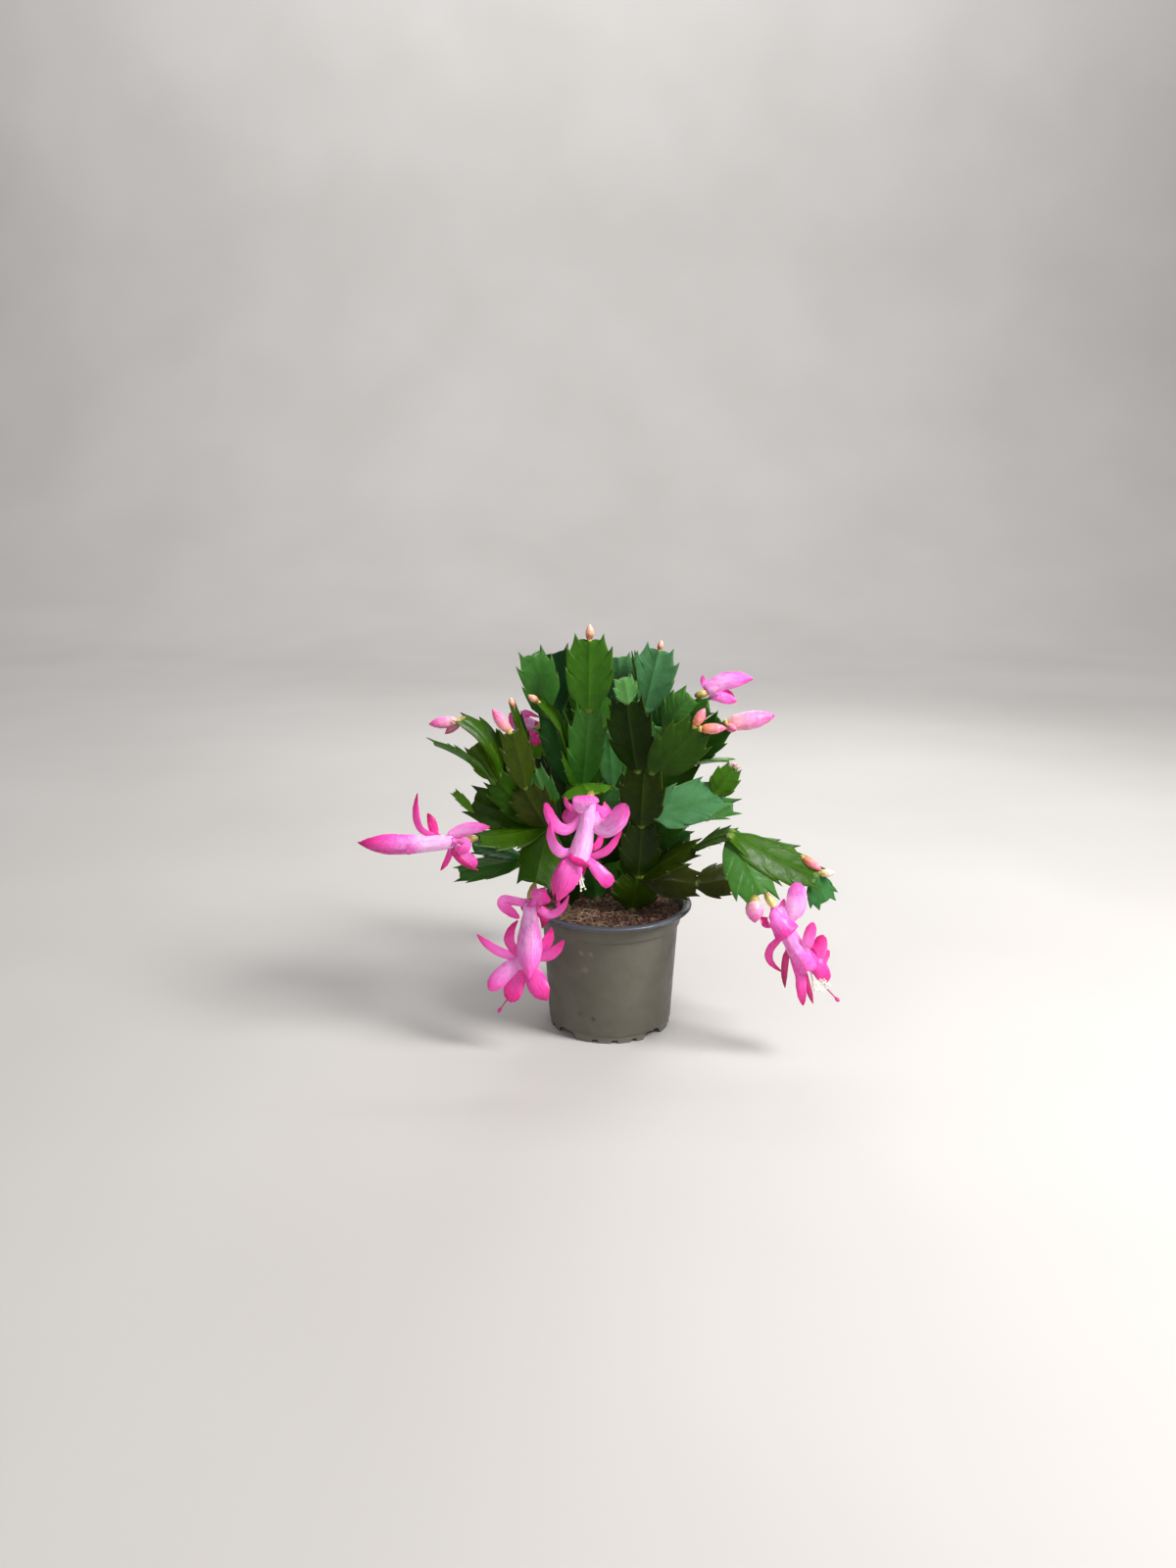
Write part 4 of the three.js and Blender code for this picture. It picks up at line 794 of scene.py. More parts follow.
def bud_material():
    p = Paint(
        "bud_salmon", 0.4, Specular_IOR_Level=0.4, Subsurface_Weight=0.3, Subsurface_Scale=0.003,
        Subsurface_Radius=(1.0, 0.4, 0.4),
    )
    along, tone, across = (p.value(k) for k in ("along", "tone", "across"))
    pink = [(0.0, 0.5, 0.36, 0.12), (0.16, 0.9, 0.42, 0.5), (0.6, 0.91, 0.24, 0.6), (1.0, 0.8, 0.02, 0.34)]
    warm = [(0, 0.22, 0.1, 0.02), (0.16, 0.76, 0.23, 0.07), (0.5, 0.88, 0.26, 0.25), (1.0, 0.88, 0.16, 0.36)]
    young = [(0.0, 0.16, 0.06, 0.02), (0.3, 0.4, 0.13, 0.05), (0.55, 0.85, 0.42, 0.27), (1.0, 0.9, 0.5, 0.42)]
    cream = [(0.0, 0.5, 0.45, 0.1), (0.3, 0.8, 0.7, 0.25), (0.5, 0.9, 0.75, 0.6), (1.0, 0.93, 0.6, 0.62)]
    base = p.ramp(along, pink)
    for stops, low, high in ((warm, 0.2, 1.0), (young, 1.0, 1.2), (cream, 1.35, 1.5)):
        base = p.mix(p.span(tone, low, high), base, p.ramp(along, stops))
    base = p.mix(p.times(across, 0.35), base, (0.6, 0.1, 0.12))
    p.colour(p.mix(p.span(p.noise(500, 3), 0.4, 0.7, 0.0, 0.2), base, (0.95, 0.75, 0.65)))
    p.bump(p.noise(800, 3), 0.2, 0.0003)
    return p.made


def plain(name, colours, roughness, scale, bump):
    """A material whose colour wanders among colours with a noise."""
    p = Paint(name, roughness)
    last = len(colours) - 1
    p.colour(p.ramp(p.noise(scale, 4), [(0.3 + 0.4 * i / last, *c) for i, c in enumerate(colours)]))
    p.bump(p.noise(scale * 3, 3), bump, 0.0004)
    return p.made


def tinted(name, stops, roughness, **sockets):
    """A material whose colour follows a value along the piece, under a fine noise."""
    p = Paint(name, roughness, **sockets)
    p.colour(p.ramp(p.plus(p.value("along"), p.swing(p.noise(600, 2), 0.25)), stops))
    p.bump(p.noise(900, 2), 0.15, 0.0003)
    return p.made


def toned(name, stops, roughness):
    """A material whose colour is drawn for each strand or crumb."""
    p = Paint(name, roughness)
    dark = p.span(p.noise(900, 3), 0.35, 0.65, 0.0, 0.35)
    p.colour(p.mix(dark, p.ramp(p.value("tone"), stops), (0.02, 0.01, 0.006)))
    p.bump(p.noise(1500, 3), 0.4, 0.0004)
    return p.made


def pot_material():
    p = Paint("pot_plastic", 0.5, Specular_IOR_Level=0.45)
    height, tone, shade = (p.value(k) for k in ("along", "tone", "shade"))
    base = p.ramp(p.noise(60, 5, 1.2), [(0.3, 0.098, 0.093, 0.068), (0.7, 0.12, 0.114, 0.088)])
    # Pale and dark specks, and a paler foot.
    base = p.mix(p.times(p.span(p.noise(2600, 2), 0.62, 0.72), 0.35), base, (0.26, 0.25, 0.22))
    base = p.mix(p.times(p.span(p.noise(1400, 2), 0.68, 0.76), 0.4), base, (0.06, 0.05, 0.04))
    base = p.mix(p.span(height, 0.075, 0.045, 0.0, 0.5), base, (0.17, 0.16, 0.13))
    ragged = p.swing(p.noise(700, 3), 0.005)
    for x, y, z, size, colour in MARKS:
        far = p.nodes.new("ShaderNodeVectorMath")
        far.operation = "DISTANCE"
        p.links.new(p.coords, far.inputs[0])
        far.inputs[1].default_value = place((x, y, z))
        spot = p.plus(far.outputs["Value"], ragged)
        base = p.mix(p.span(spot, size * MM, size * MM / 5, 0.0, 0.55), base, colour)
    # The rim is bluer and smoother. Painted shade darkens the grooves, under the rim, the inner wall and the
    # inside of the foot.
    base = p.mix(tone, base, (0.07, 0.078, 0.102))
    # Painted shade, darkest where the shade value is lowest.
    p.colour(p.mix(p.span(shade, 0.5, 0.0), base, (0.008, 0.007, 0.006)))
    p.rough(p.math("SUBTRACT", p.span(p.noise(90, 4), 0.3, 0.7, 0.38, 0.58), p.times(tone, 0.18)))
    p.bump(p.plus(p.noise(1200, 3), p.times(p.noise(90, 2), 1.2)), 0.15, 0.0003)
    return p.made


GREEN, PETAL, BUD = green_material(), petal_material(), bud_material()
OVARY = tinted(
    "ovary_lime", [(0.0, 0.2, 0.15, 0.03), (0.5, 0.58, 0.5, 0.13), (1.0, 0.78, 0.6, 0.3)], 0.4,
    Subsurface_Weight=0.2, Subsurface_Scale=0.002,
)
WHITES = [(0.0, 0.94, 0.78, 0.88), (0.5, 0.95, 0.91, 0.93), (1.0, 0.95, 0.93, 0.84)]
STAMEN = tinted("stamen_white", WHITES, 0.5)
MAGENTAS = [(0.0, 0.5, 0.03, 0.16), (0.6, 0.34, 0.008, 0.06), (1.0, 0.62, 0.02, 0.25)]
STYLE = tinted("style_magenta", MAGENTAS, 0.4)
HAIR = toned("areole_hair", [(0.0, 0.2, 0.12, 0.06), (0.6, 0.55, 0.38, 0.28), (1.0, 0.85, 0.68, 0.6)], 0.7)
PEAT = plain("peat", [(0.02, 0.01, 0.007), (0.06, 0.028, 0.02), (0.1, 0.05, 0.035)], 0.95, 420, 0.8)
FIBRE = toned(
    "peat_fibre",
    [(0.0, 0.05, 0.022, 0.016), (0.5, 0.15, 0.07, 0.045), (0.8, 0.28, 0.17, 0.1), (1.0, 0.5, 0.38, 0.25)],
    0.9,
)
BARK = plain("woody_stub", [(0.08, 0.05, 0.025), (0.14, 0.1, 0.05), (0.07, 0.09, 0.02)], 0.8, 300, 0.6)

# ---------------------------------------------------------------- the plants
# Stub at a plant's root: [height, radius].
STUB = [(66, 2.6), (72, 2.9), (77, 3.1), (80.5, 2.2), (82, 1.2)]
# A segment this light has more hairs in its notches.
PALE, MANY, FEW = 0.6, 5, 3

for name, segments in GROWN.items():
    skin, hair, stub = Skin(), Skin(), Skin()
    for i, (label, s) in enumerate(segments.items()):
        rng = random.Random(label)
        # Listed segments carry painted shade and painted sheen in their tone and lightness; the rest are
        # drawn at random.
        tone, shade = TONES_AND_PAINTED_LIGHT.get(label, [rng.uniform(-0.4, 0.7), rng.uniform(0.35, 0.6)])
        keys = OUTLINES[SHAPED.get(label, i % COMMON)]
        segment_skin(skin, s, keys, rng, tone, shade)
        bristles(hair, s, keys, rng, MANY if shade > PALE else FEW, TUFTS.get(label, 0))
    skin.build("segments_" + name, GREEN, ["plant_" + name], "segment_green")
    hair.build("bristles_" + name, HAIR)
    foot = Vector((*ROOTS[name], 0))
    knob(stub, foot, UP, [(z, r, z) for z, r in STUB], 14, lobes=lambda t, a: 1 + 0.1 * math.sin(3 * a + t))
    stub.build("stub_" + name, BARK)


# ---------------------------------------------------------------- buds
BUD_SHAPE = [
    (0, 0.42), (0.07, 0.6), (0.2, 0.86), (0.42, 1.0), (0.62, 0.93), (0.8, 0.66), (0.92, 0.36), (1.0, 0.06),
]
BUD_FOOT = [(-2.2, 0.3, 0), (-0.8, 0.5, 0.2), (0.4, 0.62, 0.5), (1.0, 0.5, 0.7)]
BUD_ROWS, FOLDS = 23, 5
MOST = 0.8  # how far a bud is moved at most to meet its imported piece


def seat_of(node, start, d):
    """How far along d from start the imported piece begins."""
    points = [v.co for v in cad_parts[node].data.vertices]
    return min((p - place(start)).dot(d) for p in points) / MM


def bud_skin(skin, start, d, length, radius, tone, rng):
    """A bud with the folds of its petals winding round it."""
    turn = rng.uniform(0, 6)

    def fold(t, a):
        return (a * FOLDS / TURN + turn + 1.1 * t) % 1.0

    def value(t, a):
        return {"along": t, "tone": tone, "across": smooth((fold(t, a) - 0.8) / 0.2)}

    def lobes(t, a):
        return 1 + 0.075 * (fold(t, a) - 0.5) * smooth(t * 5)

    shares = [i / (BUD_ROWS - 1) for i in range(BUD_ROWS)]
    profile = [(t * length, radius * between(BUD_SHAPE, t), t) for t in shares]
    knob(skin, start, d, profile, 30, value=value, lobes=lobes)


for name, plant, label, *row in BUDS:
    (length, radius, warmth), aside = row[3:6], row[6:]
    rng = random.Random("bud" + name)
    d = unit(row[:3])
    start = GROWN[plant][label].at(*place_on(aside, SEAT, SEAT_SPREAD))
    start += d * min(MOST, max(-MOST, seat_of("bud_" + name, start, d)))
    skin, foot = Skin(), Skin()
    bud_skin(skin, start, d, length, radius, warmth, rng)
    skin.build("closed_bud_" + name, BUD, ["bud_" + name], "bud_salmon")
    knob(foot, start, d, [(z, radius * r, t) for z, r, t in BUD_FOOT], 14, value=along_it)
    foot.build("bud_foot_" + name, OVARY, (), "ovary_lime")


# ---------------------------------------------------------------- blooms
# Half widths along a petal, by its outline.
PETALS = {
    "lance": [
        (0, 0.5), (0.14, 0.7), (0.34, 0.95), (0.5, 1.0), (0.7, 0.86), (0.84, 0.56), (0.94, 0.27), (1.0, 0.03),
    ],
    "blunt": [(0, 0.5), (0.2, 0.75), (0.45, 0.98), (0.68, 1.0), (0.85, 0.84), (0.95, 0.48), (1.0, 0.08)],
    "cut": [(0, 0.3), (0.3, 0.6), (0.6, 0.92), (0.85, 1.0), (0.96, 0.8), (1.0, 0.3)],
    "broad": [(0, 0.5), (0.2, 0.85), (0.5, 1.0), (0.85, 0.97), (0.96, 0.82), (1.0, 0.5)],
    "sheath": [(0, 0.12), (0.3, 0.45), (0.6, 0.78), (0.9, 1.0), (1.0, 0.97)],
    "bulb": [(0, 0.75), (0.2, 0.95), (0.4, 1.0), (0.6, 0.9), (0.8, 0.6), (0.93, 0.3), (1.0, 0.03)],
}
# Shares of the half width at which a petal has points.
LANES = (-1, -0.97, -0.88, -0.7, -0.47, -0.24, 0, 0.24, 0.47, 0.7, 0.88, 0.97, 1)
PETAL_ROWS = 27
BERRY = [(0, 1.2), (0.3, 2.2), (0.65, 2.6), (0.9, 2.1), (1, 1.7)]
BERRY_ROWS, TUBE_ROWS, TUBE_SIDES = 12, 31, 45
# Throat, inside the tube: [how far back from the mouth, share of its radius, how far its edge waves].
THROAT = [(0.1, 0.95, 1.9), (2.5, 0.75, 0.8), (6, 0.55, 0), (9, 0.3, 0)]
FARTHEST = 0.97  # share along the tube where the last petals leave
STAMENS = 40
ANTHER = [(-0.7, 0.2, 1.0), (-0.3, 0.5, 1.0), (0.3, 0.52, 1.0), (0.7, 0.22, 1.0)]
STIGMA = [(-3.6, 0.4, 1.0), (-2.8, 0.9, 1.0), (-1.6, 1.15, 1.0), (-0.5, 0.85, 1.0), (0.0, 0.3, 1.0)]


def petal_skin(skin, points, width, face, tone, rng, kind="lance", cup=0.1):
    """A thin curved blade along a smooth line through points, its rounder side to face."""
    frill, phase, lean, pace = (rng.uniform(*ends) for ends in ((0.6, 1.6), (0, 6), (-1, 1), (8, 15)))
    seed, up = rng.uniform(0, 20), None
    grids = {1: [], -1: []}
    for i in range(PETAL_ROWS):
        t = i / (PETAL_ROWS - 1)
        c = spline(points, t)
        ahead = unit(spline(points, min(1, t + 0.03)) - spline(points, max(0, t - 0.03)))
        # The blade turns slowly to its face, and keeps its way where it runs straight at it.
        wanted = square_to(face, ahead) if abs(unit(face).dot(ahead)) < 0.985 else None
        if up is None:
            up = wanted or square_to(UP, ahead)
        else:
            up = square_to(up, ahead)
            if wanted:
                up = square_to(up * 0.6 + wanted * 0.4, ahead)
        across = ahead.cross(up)
        half = width * between(PETALS[kind], t) / 2
        pale = 0.1 * math.sin(math.pi * min(1.0, t * 1.15)) - 0.1
        deep = tone + (-0.6 if kind == "bulb" else 0.22) * (1 - t) ** 3
        for side in (1, -1):
            row = []
            for x in LANES:
                thick = 0.0 if abs(x) == 1 or t == 1 else (0.2 + 0.14 * (1 - x * x)) * (1 - 0.4 * t)
                bend = -cup * half * 2 * x * x
                wave = math.sin(pace * t + phase + (x > 0) * 1.3) * smooth(t * 3)
                ripple = 0.05 * width * frill * abs(x) ** 3 * wave
                crease = -0.05 * half * math.exp(-((x / 0.16) ** 2)) * math.sin(math.pi * t)
                twist = lean * 0.14 * half * x * smooth(t)
                p = c + across * (half * x) + up * (bend + ripple + twist + crease + side * thick)
                pink = deep - pale * (1 - x * x)
                row.append(skin.add(p, along=t, across=abs(x), tone=pink, shade=x + seed))
            grids[side].append(row)
    skin.loft(grids[1])
    skin.loft(grids[-1], flip=True)
    skin.faces.append(grids[-1][0][1:-1] + grids[1][0][::-1])


def rear_petals(tube):
    """Petals in tiers round a tube, in rows like those of the other blooms."""
    made = []
    for tier, (share, count, bend_out, bend_along, tip_out, tip_along, width) in enumerate(TIERS):
        middle, d = bezier(*tube, share), bezier_way(*tube, share)
        front, right = sides_of(d)
        for i in range(count):
            a = (i + tier / 2) / count * TURN
            out = front * math.cos(a) + right * math.sin(a)
            via, tip = middle + out * bend_out + d * bend_along, middle + out * tip_out + d * tip_along
            made.append([share, *via, *tip, width, *out, 0.1 * tier])
    return made


def flared(flare):
    """Shares of a tube's radius along it."""
    return [(0, 0.5 * flare[0]), (0.1, flare[0]), (0.5, flare[1]), (0.9, flare[2]), (1.0, flare[2] * 1.06)]


def tube_skin(skin, tube, radius, flare, blush, fade):
    """The tube, with the faint ridges of the petals fused in it, and its throat, painted deep pink as painted
    shade.
    """
    rows, shape = [], flared(flare)
    for i in range(TUBE_ROWS):
        t = i / (TUBE_ROWS - 1)
        depth = 0.02 + blush + 0.14 * (1 - t) ** 2 + fade * smooth((t - 0.65) / 0.35)
        frill = 2.2 * smooth((t - 0.8) / 0.2)
        rows.append((bezier(*tube, t), bezier_way(*tube, t), radius * between(shape, t), t, depth, frill))
    end, d = bezier(*tube, 1), bezier_way(*tube, 1)
    # The throat's rows are painted deep pink, as painted shade inside the mouth.
    for back, share, frill in THROAT:
        rows.append((end - d * back, d, radius * share * flare[2], 1.0, 0.75, frill))
    numbers = []
    for c, d, r, t, depth, frill in rows:
        front, right = sides_of(d)
        row = []
        for k in range(TUBE_SIDES):
            a = k / TUBE_SIDES * TURN
            x = (a * FOLDS / TURN + 0.6 * t + 0.3) % 1.0
            q = r * (1 + 0.06 * (x - 0.5) + 0.02 * math.sin(3 * a))
            p = c + d * (frill * (1 - (2 * x - 1) ** 2))
            p = p + front * (q * math.cos(a)) - right * (q * math.sin(a))
            lane = 2.4 * abs((a / TURN + 0.25) % 1.0 - 0.5)
            edge = smooth((x - 0.8) / 0.2) * 0.8
            row.append(skin.add(p, along=t * 0.35, across=edge, tone=depth, shade=lane))
        numbers.append(row)
    skin.loft(numbers, closed=True)
    skin.fan(numbers[0][::-1], skin.add(tube[0], tone=0.2))
    # The throat's bottom, deepest in painted shade.
    skin.fan(numbers[-1], skin.add(rows[-1][0] - rows[-1][1] * 0.5, tone=0.9))


for name, bloom in BLOOMS.items():
    rng = random.Random("bloom" + name)
    plant, label, aside = bloom["on"]
    neck, bend, mouth = (Vector(bloom[k]) for k in ("neck", "bend", "mouth"))
    radius, flare, ripe = bloom["radius"], bloom.get("flare", [0.85, 1.0, 1.1]), bloom.get("ripe", 1.0)
    out = unit(bend - neck)
    tube = (neck + out * 0.3, bend, mouth)
    # The ovary, smooth and a little ribbed, from the segment's tip to the neck.
    start = GROWN[plant][label].at(*place_on([aside], SEAT, SEAT_SPREAD))
    way = unit(neck - start)
    start += way * max(-3.0, min(2.0, seat_of("ovary_" + name, start, way)))
    skin = Skin()
    shares = [i / (BERRY_ROWS - 1) for i in range(BERRY_ROWS)]
    stations = [(start.lerp(neck, t), unit(way.lerp(out, t)), between(BERRY, t), t) for t in shares]
    round_rows(skin, stations, 20, lambda t, a: {"along": t * ripe}, lambda t, a: 1 + 0.05 * math.cos(5 * a))
    skin.build("berry_" + name, OVARY, ["ovary_" + name], "ovary_lime")
    # The petals, fused to the tube.
    skin, shape = Skin(), flared(flare)
    tube_skin(skin, tube, radius, flare, bloom.get("blush", 0.0), bloom.get("fade", 0.0))
    for share, *row in bloom.get("petals") or rear_petals(tube):
        via, tip, face = (Vector(row[k : k + 3]) for k in (0, 3, 7))
        width, tone, form = row[6], row[10], row[11:]
        share = min(share, FARTHEST)
        middle, d = bezier(*tube, share), bezier_way(*tube, share)
        side = square_to(via - middle, d)
        root = middle + side * radius * 0.5
        line = [bezier(root, via, tip, t) for t in (0.3, 0.5, 0.7, 0.86, 1.0)]
        if width >= 5 and share < 0.9:
            # A broad petal leaves the wall of the tube, and starts inside it.
            back = max(0.0, share - 0.16)
            sunk = bezier(*tube, back) + side * (radius * between(shape, back) * 0.72)
            on = middle + side * (radius * between(shape, share) * 0.95)
            points = [sunk, on + (line[0] - on) * 0.08] + line
        else:
            points = [root - d * 1.5, root.lerp(line[0], 0.5)] + line
        petal_skin(skin, points, width, face, tone, rng, *form)
    skin.build("corolla_" + name, PETAL, ["petals_" + name], "petal_pink")
    if "stamens" not in bloom:
        continue
    # The stamens in a bundle, spread and curved, each with its anther.
    d = bezier_way(*tube, 1)
    tip, stigma = Vector(bloom["stamens"]), Vector(bloom["stigma"])
    reach = tip - mouth
    lean = square_to(stigma - mouth, d)
    beside = reach.normalized().cross(lean)
    skin = Skin()
    for _ in range(STAMENS):
        a = rng.uniform(0, TURN)
        spread = math.sqrt(rng.random())
        side = (lean * math.cos(a) + beside * math.sin(a)) * spread
        foot = mouth - d * 6 + side * 1.3
        share = rng.uniform(0.62, 1.02)
        end = mouth + reach * share + side * (reach.length * 0.42 * share) - lean * 0.8
        middle = mouth + reach * (share * 0.45) + (end - mouth - reach * share) * 0.3
        line = curve([foot, mouth.lerp(middle, 0.2), middle, end], 10)
        thread(skin, line, (0.3, 0.2))
        knob(skin, end, unit(unit(end - line[-2]) + any_way(rng) * 0.8), ANTHER, 7, value=along_it)
    skin.build("filaments_" + name, STAMEN, ["stamens_" + name], "stamen_white")
    # The style, ending in a club of close lobes.
    skin = Skin()
    foot = mouth - d * 5 + lean * 1.2
    line = curve([foot, mouth + lean * 2.3, mouth.lerp(stigma, 0.55) + d * 1.2, stigma], 14)
    thread(skin, line[:-1], (0.5, 0.42), 8)
    turn = unit(line[-1] - line[-3])
    knob(skin, stigma, turn, STIGMA, 24, value=along_it, lobes=lambda t, a: 1 + 0.16 * math.cos(6 * a))
    skin.build("pistil_" + name, STYLE, ["style_" + name], "style_magenta")

# ---------------------------------------------------------------- pot
# Radius, height, and where they aren't 0 and 0.5, how blue it is and how light. The light column holds
# painted
# shade: darker in the grooves, under the rim, on the inner wall and inside the foot.
# The first three and the last three follow the lobed foot's edge.
POT = rows_of("""
39.1 0, 39.3 2.4, 39.4 4.5, 39.5 4.8 0 0.2, 39.95 5.1, 40.05 5.6, 41.7 35, 43.7 66, 43.85 68.5
44.1 68.9 0 0.25, 44.7 69.3, 45.2 70.2, 46.1 73.5, 46.9 76.6, 46.9 77 0 0.3, 47.4 77.4, 47.9 79
48.5 79.7 0.1 0.3, 50.9 79.75 0.3 0.4, 51.9 79.9 0.7 0.5, 52.4 80.4 1 0.5, 52.5 81 1 0.5
52.2 81.6 1 0.5, 51.4 81.9 1 0.5, 50 82 1 0.5, 48.6 81.9 0.9 0.5, 47.8 81.5 0.8 0.5
47.2 80.6 0.6 0.5, 46 76 0.3 0.45, 44 70, 42.6 66, 38.4 6.8, 37.4 6.6, 0 6.6, 0 5.4 0 0.1
37.2 5.4 0 0.1, 37.7 4.9 0 0.1, 37.9 2.4 0 0.1, 37.9 0 0 0.1
""")
POT_HEIGHT, POT_SIDES = 82, 360
# Drain notches in each quarter of the foot: middle in degrees, and (width, height).
FOOT_RADIUS, WIDE, SMALL = 39, (15.5, 4.7), (4.8, 2.4)
DRAINS = [(-46.6, WIDE), (-15.2, SMALL), (3.4, SMALL), (22.0, SMALL)]


def foot_edge(degrees):
    """Height of the foot's edge: in each quarter a wide notch with a lobed top, and three small ones."""
    edge = 0.0
    for quarter in range(4):
        for middle, notch in DRAINS:
            width, height = notch
            away = abs((degrees - middle + quarter * 90 + 180) % 360 - 180)
            gap = math.radians(away) * FOOT_RADIUS
            crest = height - (0.8 * max(0.0, math.cos(gap * 1.25)) if notch is WIDE else 0)
            edge = max(edge, crest * min(1.0, max(0.0, (width / 2 - gap) / (height * 0.35))))
    return edge


def pot_skin():
    skin = Skin()
    rows = [[] for _ in POT]
    for i in range(POT_SIDES):
        degrees = i * 360 / POT_SIDES
        edge, a = foot_edge(degrees), math.radians(degrees)
        # The wall is a little out of round.
        bow = 1 + 0.0009 * math.sin(2 * a + 1) + 0.0005 * math.sin(5 * a)
        for k, (r, z, *looks) in enumerate(POT):
            # light: painted shade in the grooves, under the rim, on the inner wall and inside the foot.
            blue, light = looks or (0, 0.5)
            if r == 0:
                if not rows[k]:
                    rows[k] = [skin.add(Vector((0, 0, z)), along=z / POT_HEIGHT, shade=light)] * POT_SIDES
                continue
            lift = max(z, edge) if k < 3 or k >= len(POT) - 3 else z
            p = polar(r * (bow if z > 10 else 1), a, lift)
            rows[k].append(skin.add(p, along=z / POT_HEIGHT, tone=blue, shade=light))
    skin.loft(rows + rows[:1], closed=True)
    return skin


pot = pot_skin().build("nursery_pot", pot_material(), ["pot"], "pot_plastic")
sharp = pot.modifiers.new("edges", "EDGE_SPLIT")
sharp.split_angle = math.radians(50)

# ---------------------------------------------------------------- peat
SOIL_SIDES, SOIL_RINGS = 150, 44
SOIL_RADIUS, FLOOR = 44.9, 7.1
# The peat's side, inside the pot: [radius, height].
WALL = [(37.9, FLOOR), (42.1, 66.5)]
# Litter: ends of its length, thickness and tone, how high it bows and how far it lies over the peat.
STRAW = dict(length=(5, 16), thick=(0.1, 0.26), tone=(0.6, 1.0), bow=2.4, over=0.3)
SHRED = dict(length=(2, 8), thick=(0.07, 0.18), tone=(0, 0.6), bow=1.1, over=0.25)
FIBRES, CRUMBS = 2100, 1500
FIBRE_RADIUS, CRUMB_RADIUS, RIM = 44.2, 44.4, 44.8
CRUMB = [(-0.7, 0.6, 0), (-0.1, 1.0, 1), (0.6, 0.65, 2)]


def ground(x, y):
    """Height of the peat's surface."""
    heap = 1.6 * smooth((x + 10) / 50) + 0.9 * smooth((math.hypot(x, y) - 44) / -30)
    z = 74.6 + heap
    for size, scale, layer in ((1.5, 0.09, 3), (0.8, 0.35, 7), (0.35, 1.1, 1)):
        z += size * noise.noise(Vector((x * scale, y * scale, layer)))
    return z


def any_spot(rng, radius):
    """A place within a radius, drawn evenly."""
    a = rng.uniform(0, TURN)
    return polar(radius * math.sqrt(rng.random()), a)


def ring(skin, radius, height):
    """Points round the axis, as high as a function of x and y says."""
    row = []
    for i in range(SOIL_SIDES):
        a = i / SOIL_SIDES * TURN
        x, y = radius * math.cos(a), radius * math.sin(a)
        row.append(skin.add(Vector((x, y, height(x, y)))))
    return row


soil = Skin()
top = [ring(soil, SOIL_RADIUS, lambda x, y: ground(x, y) - 0.8)]
for k in range(1, SOIL_RINGS):
    top.append(ring(soil, SOIL_RADIUS * (1 - k / SOIL_RINGS), ground))
top.append([soil.add(Vector((0, 0, ground(0, 0))))] * SOIL_SIDES)
wall = [ring(soil, r, lambda x, y: z) for r, z in WALL]
soil.loft(wall + top, closed=True)
soil.fan(wall[0][::-1], soil.add(Vector((0, 0, FLOOR))))
soil.build("peat_body", PEAT, ["soil"], "peat")

rng = random.Random(5)
fibres = Skin()
for _ in range(FIBRES):
    spot = any_spot(rng, FIBRE_RADIUS)
    kind = STRAW if rng.random() < (0.3 if spot.x < 0 else 0.12) else SHRED
    length = rng.uniform(*kind["length"])
    way = polar(1, rng.uniform(0, TURN))
    curl = Vector((-way.y, way.x, 0)) * rng.uniform(-0.35, 0.35) * length
    points = []
    for k in range(5):
        t = k / 4
        arc = 4 * t * (1 - t)
        p = spot + way * (length * (t - 0.5)) + curl * arc
        far = math.hypot(p.x, p.y)
        if far > RIM:
            p *= RIM / far
        p.z = ground(p.x, p.y) + kind["over"] + kind["bow"] * arc * rng.uniform(0.3, 1)
        points.append(p)
    thick = rng.uniform(*kind["thick"])
    thread(fibres, points, (thick, thick * 0.6), 4, tone=rng.uniform(*kind["tone"]))
fibres.build("peat_fibres", FIBRE, (), "peat")

crumbs = Skin()
for _ in range(CRUMBS):
    c = any_spot(rng, CRUMB_RADIUS)
    size = rng.uniform(0.4, 1.0) + (1.0 if rng.random() < 0.12 else 0)
    c.z = ground(c.x, c.y) + size * 0.35
    d = unit(any_way(rng))
    bumps = [rng.uniform(0.7, 1.25) for _ in range(6)]
    tone = rng.uniform(0, 0.65)
    looks = dict(value=lambda t, a: {"tone": tone}, lobes=lambda t, a: bumps[round(a) % 6])
    knob(crumbs, c, d, CRUMB, 6, size, **looks)
crumbs.build("peat_crumbs", FIBRE, (), "peat")

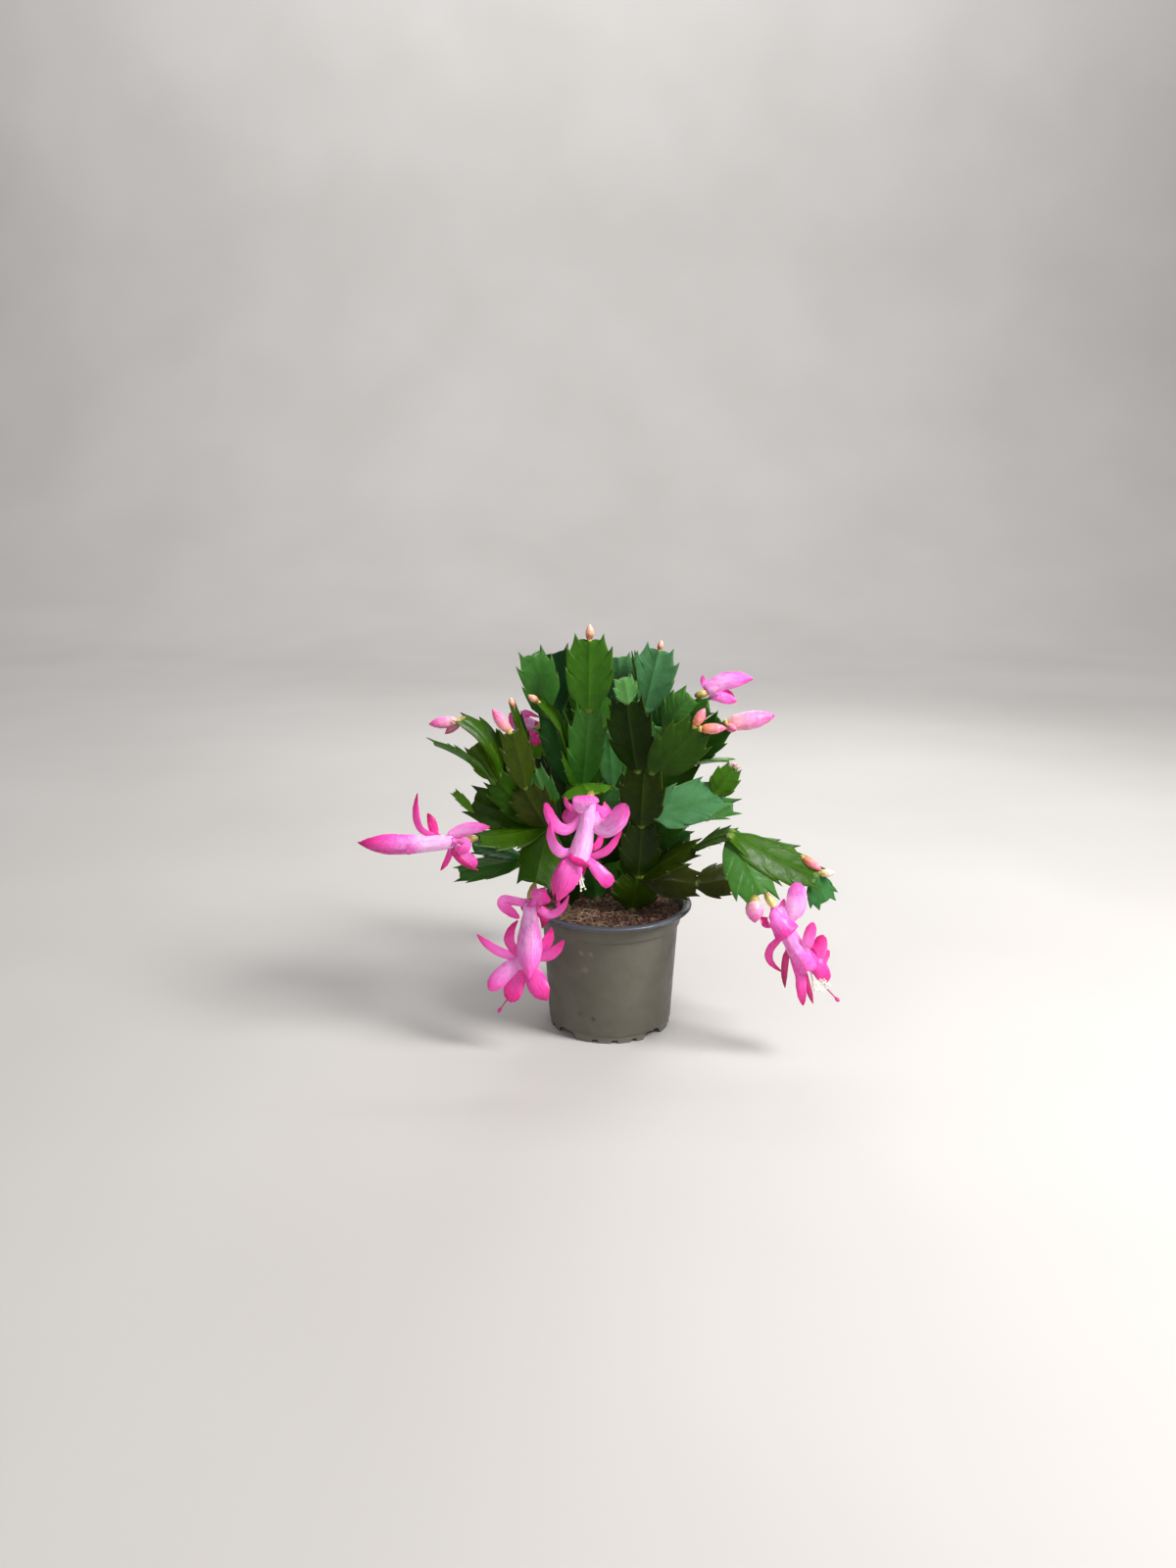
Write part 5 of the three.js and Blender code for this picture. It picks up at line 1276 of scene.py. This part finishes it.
# ---------------------------------------------------------------- floor, light and camera
# The floor runs back and curves up into a plain backdrop, in metres: [y, z].
BACK, BEND = 1.8, 1.2
turns = [k * math.pi / 32 for k in range(1, 17)]
bent = [(BACK + BEND * math.sin(a), BEND - BEND * math.cos(a)) for a in turns]
sweep = [(-3, 0), (BACK, 0), *bent, (3, 4)]
mesh = bpy.data.meshes.new("floor")
points = [(x, y, z) for y, z in sweep for x in (-4, 4)]
mesh.from_pydata(points, [], [(2 * i, 2 * i + 1, 2 * i + 3, 2 * i + 2) for i in range(len(sweep) - 1)])
mesh.shade_smooth()
floor = linked("floor", mesh)
pale = Paint("pale_floor", 0.8)
pale.colour(pale.ramp(pale.noise(3, 2), [(0.3, 0.5, 0.485, 0.47), (0.7, 0.54, 0.525, 0.51)]))
mesh.materials.append(pale.made)

world = bpy.data.worlds.new("studio")
bpy.context.scene.world = world
world.use_nodes = True
sky = world.node_tree.nodes["Background"]
sky.inputs["Color"].default_value = (0.97, 0.96, 0.96, 1)
sky.inputs["Strength"].default_value = 0.3


def softbox(name, where, towards, size, power, colour=(1, 1, 1)):
    light = bpy.data.lights.new(name, "AREA")
    light.shape = "RECTANGLE"
    light.size, light.size_y = size
    light.energy = power
    light.color = colour
    lamp = linked(name, light)
    lamp.location = where
    lamp.rotation_euler = (Vector(towards) - Vector(where)).to_track_quat("-Z", "Y").to_euler()


softbox("key", (0.75, -0.45, 0.95), (0, 0, 0.14), (0.35, 0.45), 20, (1, 0.98, 0.96))
softbox("front", (-0.1, -1.4, 0.75), (0, 0, 0.12), (1.2, 0.8), 4)
softbox("back", (0.3, 0.9, 0.8), (0, 0, 0.15), (0.8, 0.4), 5)
softbox("backdrop", (0, 1.2, 2.6), (0, 3.2, 1.0), (3, 1), 60)

# The photograph's camera: where it stands, in mm from the pot's axis, and how far down it looks.
EYE, DOWN = (-14.5, -698, 326), 13.4
camera = bpy.data.cameras.new("camera")
camera.lens, camera.sensor_width = 26.01, 36
camera.clip_start, camera.clip_end = 0.02, 30
eye = linked("camera", camera)
eye.location = place(EYE)
eye.rotation_euler = (math.radians(90 - DOWN), 0, 0)
bpy.context.scene.camera = eye
bpy.context.scene.view_settings.view_transform = "Standard"
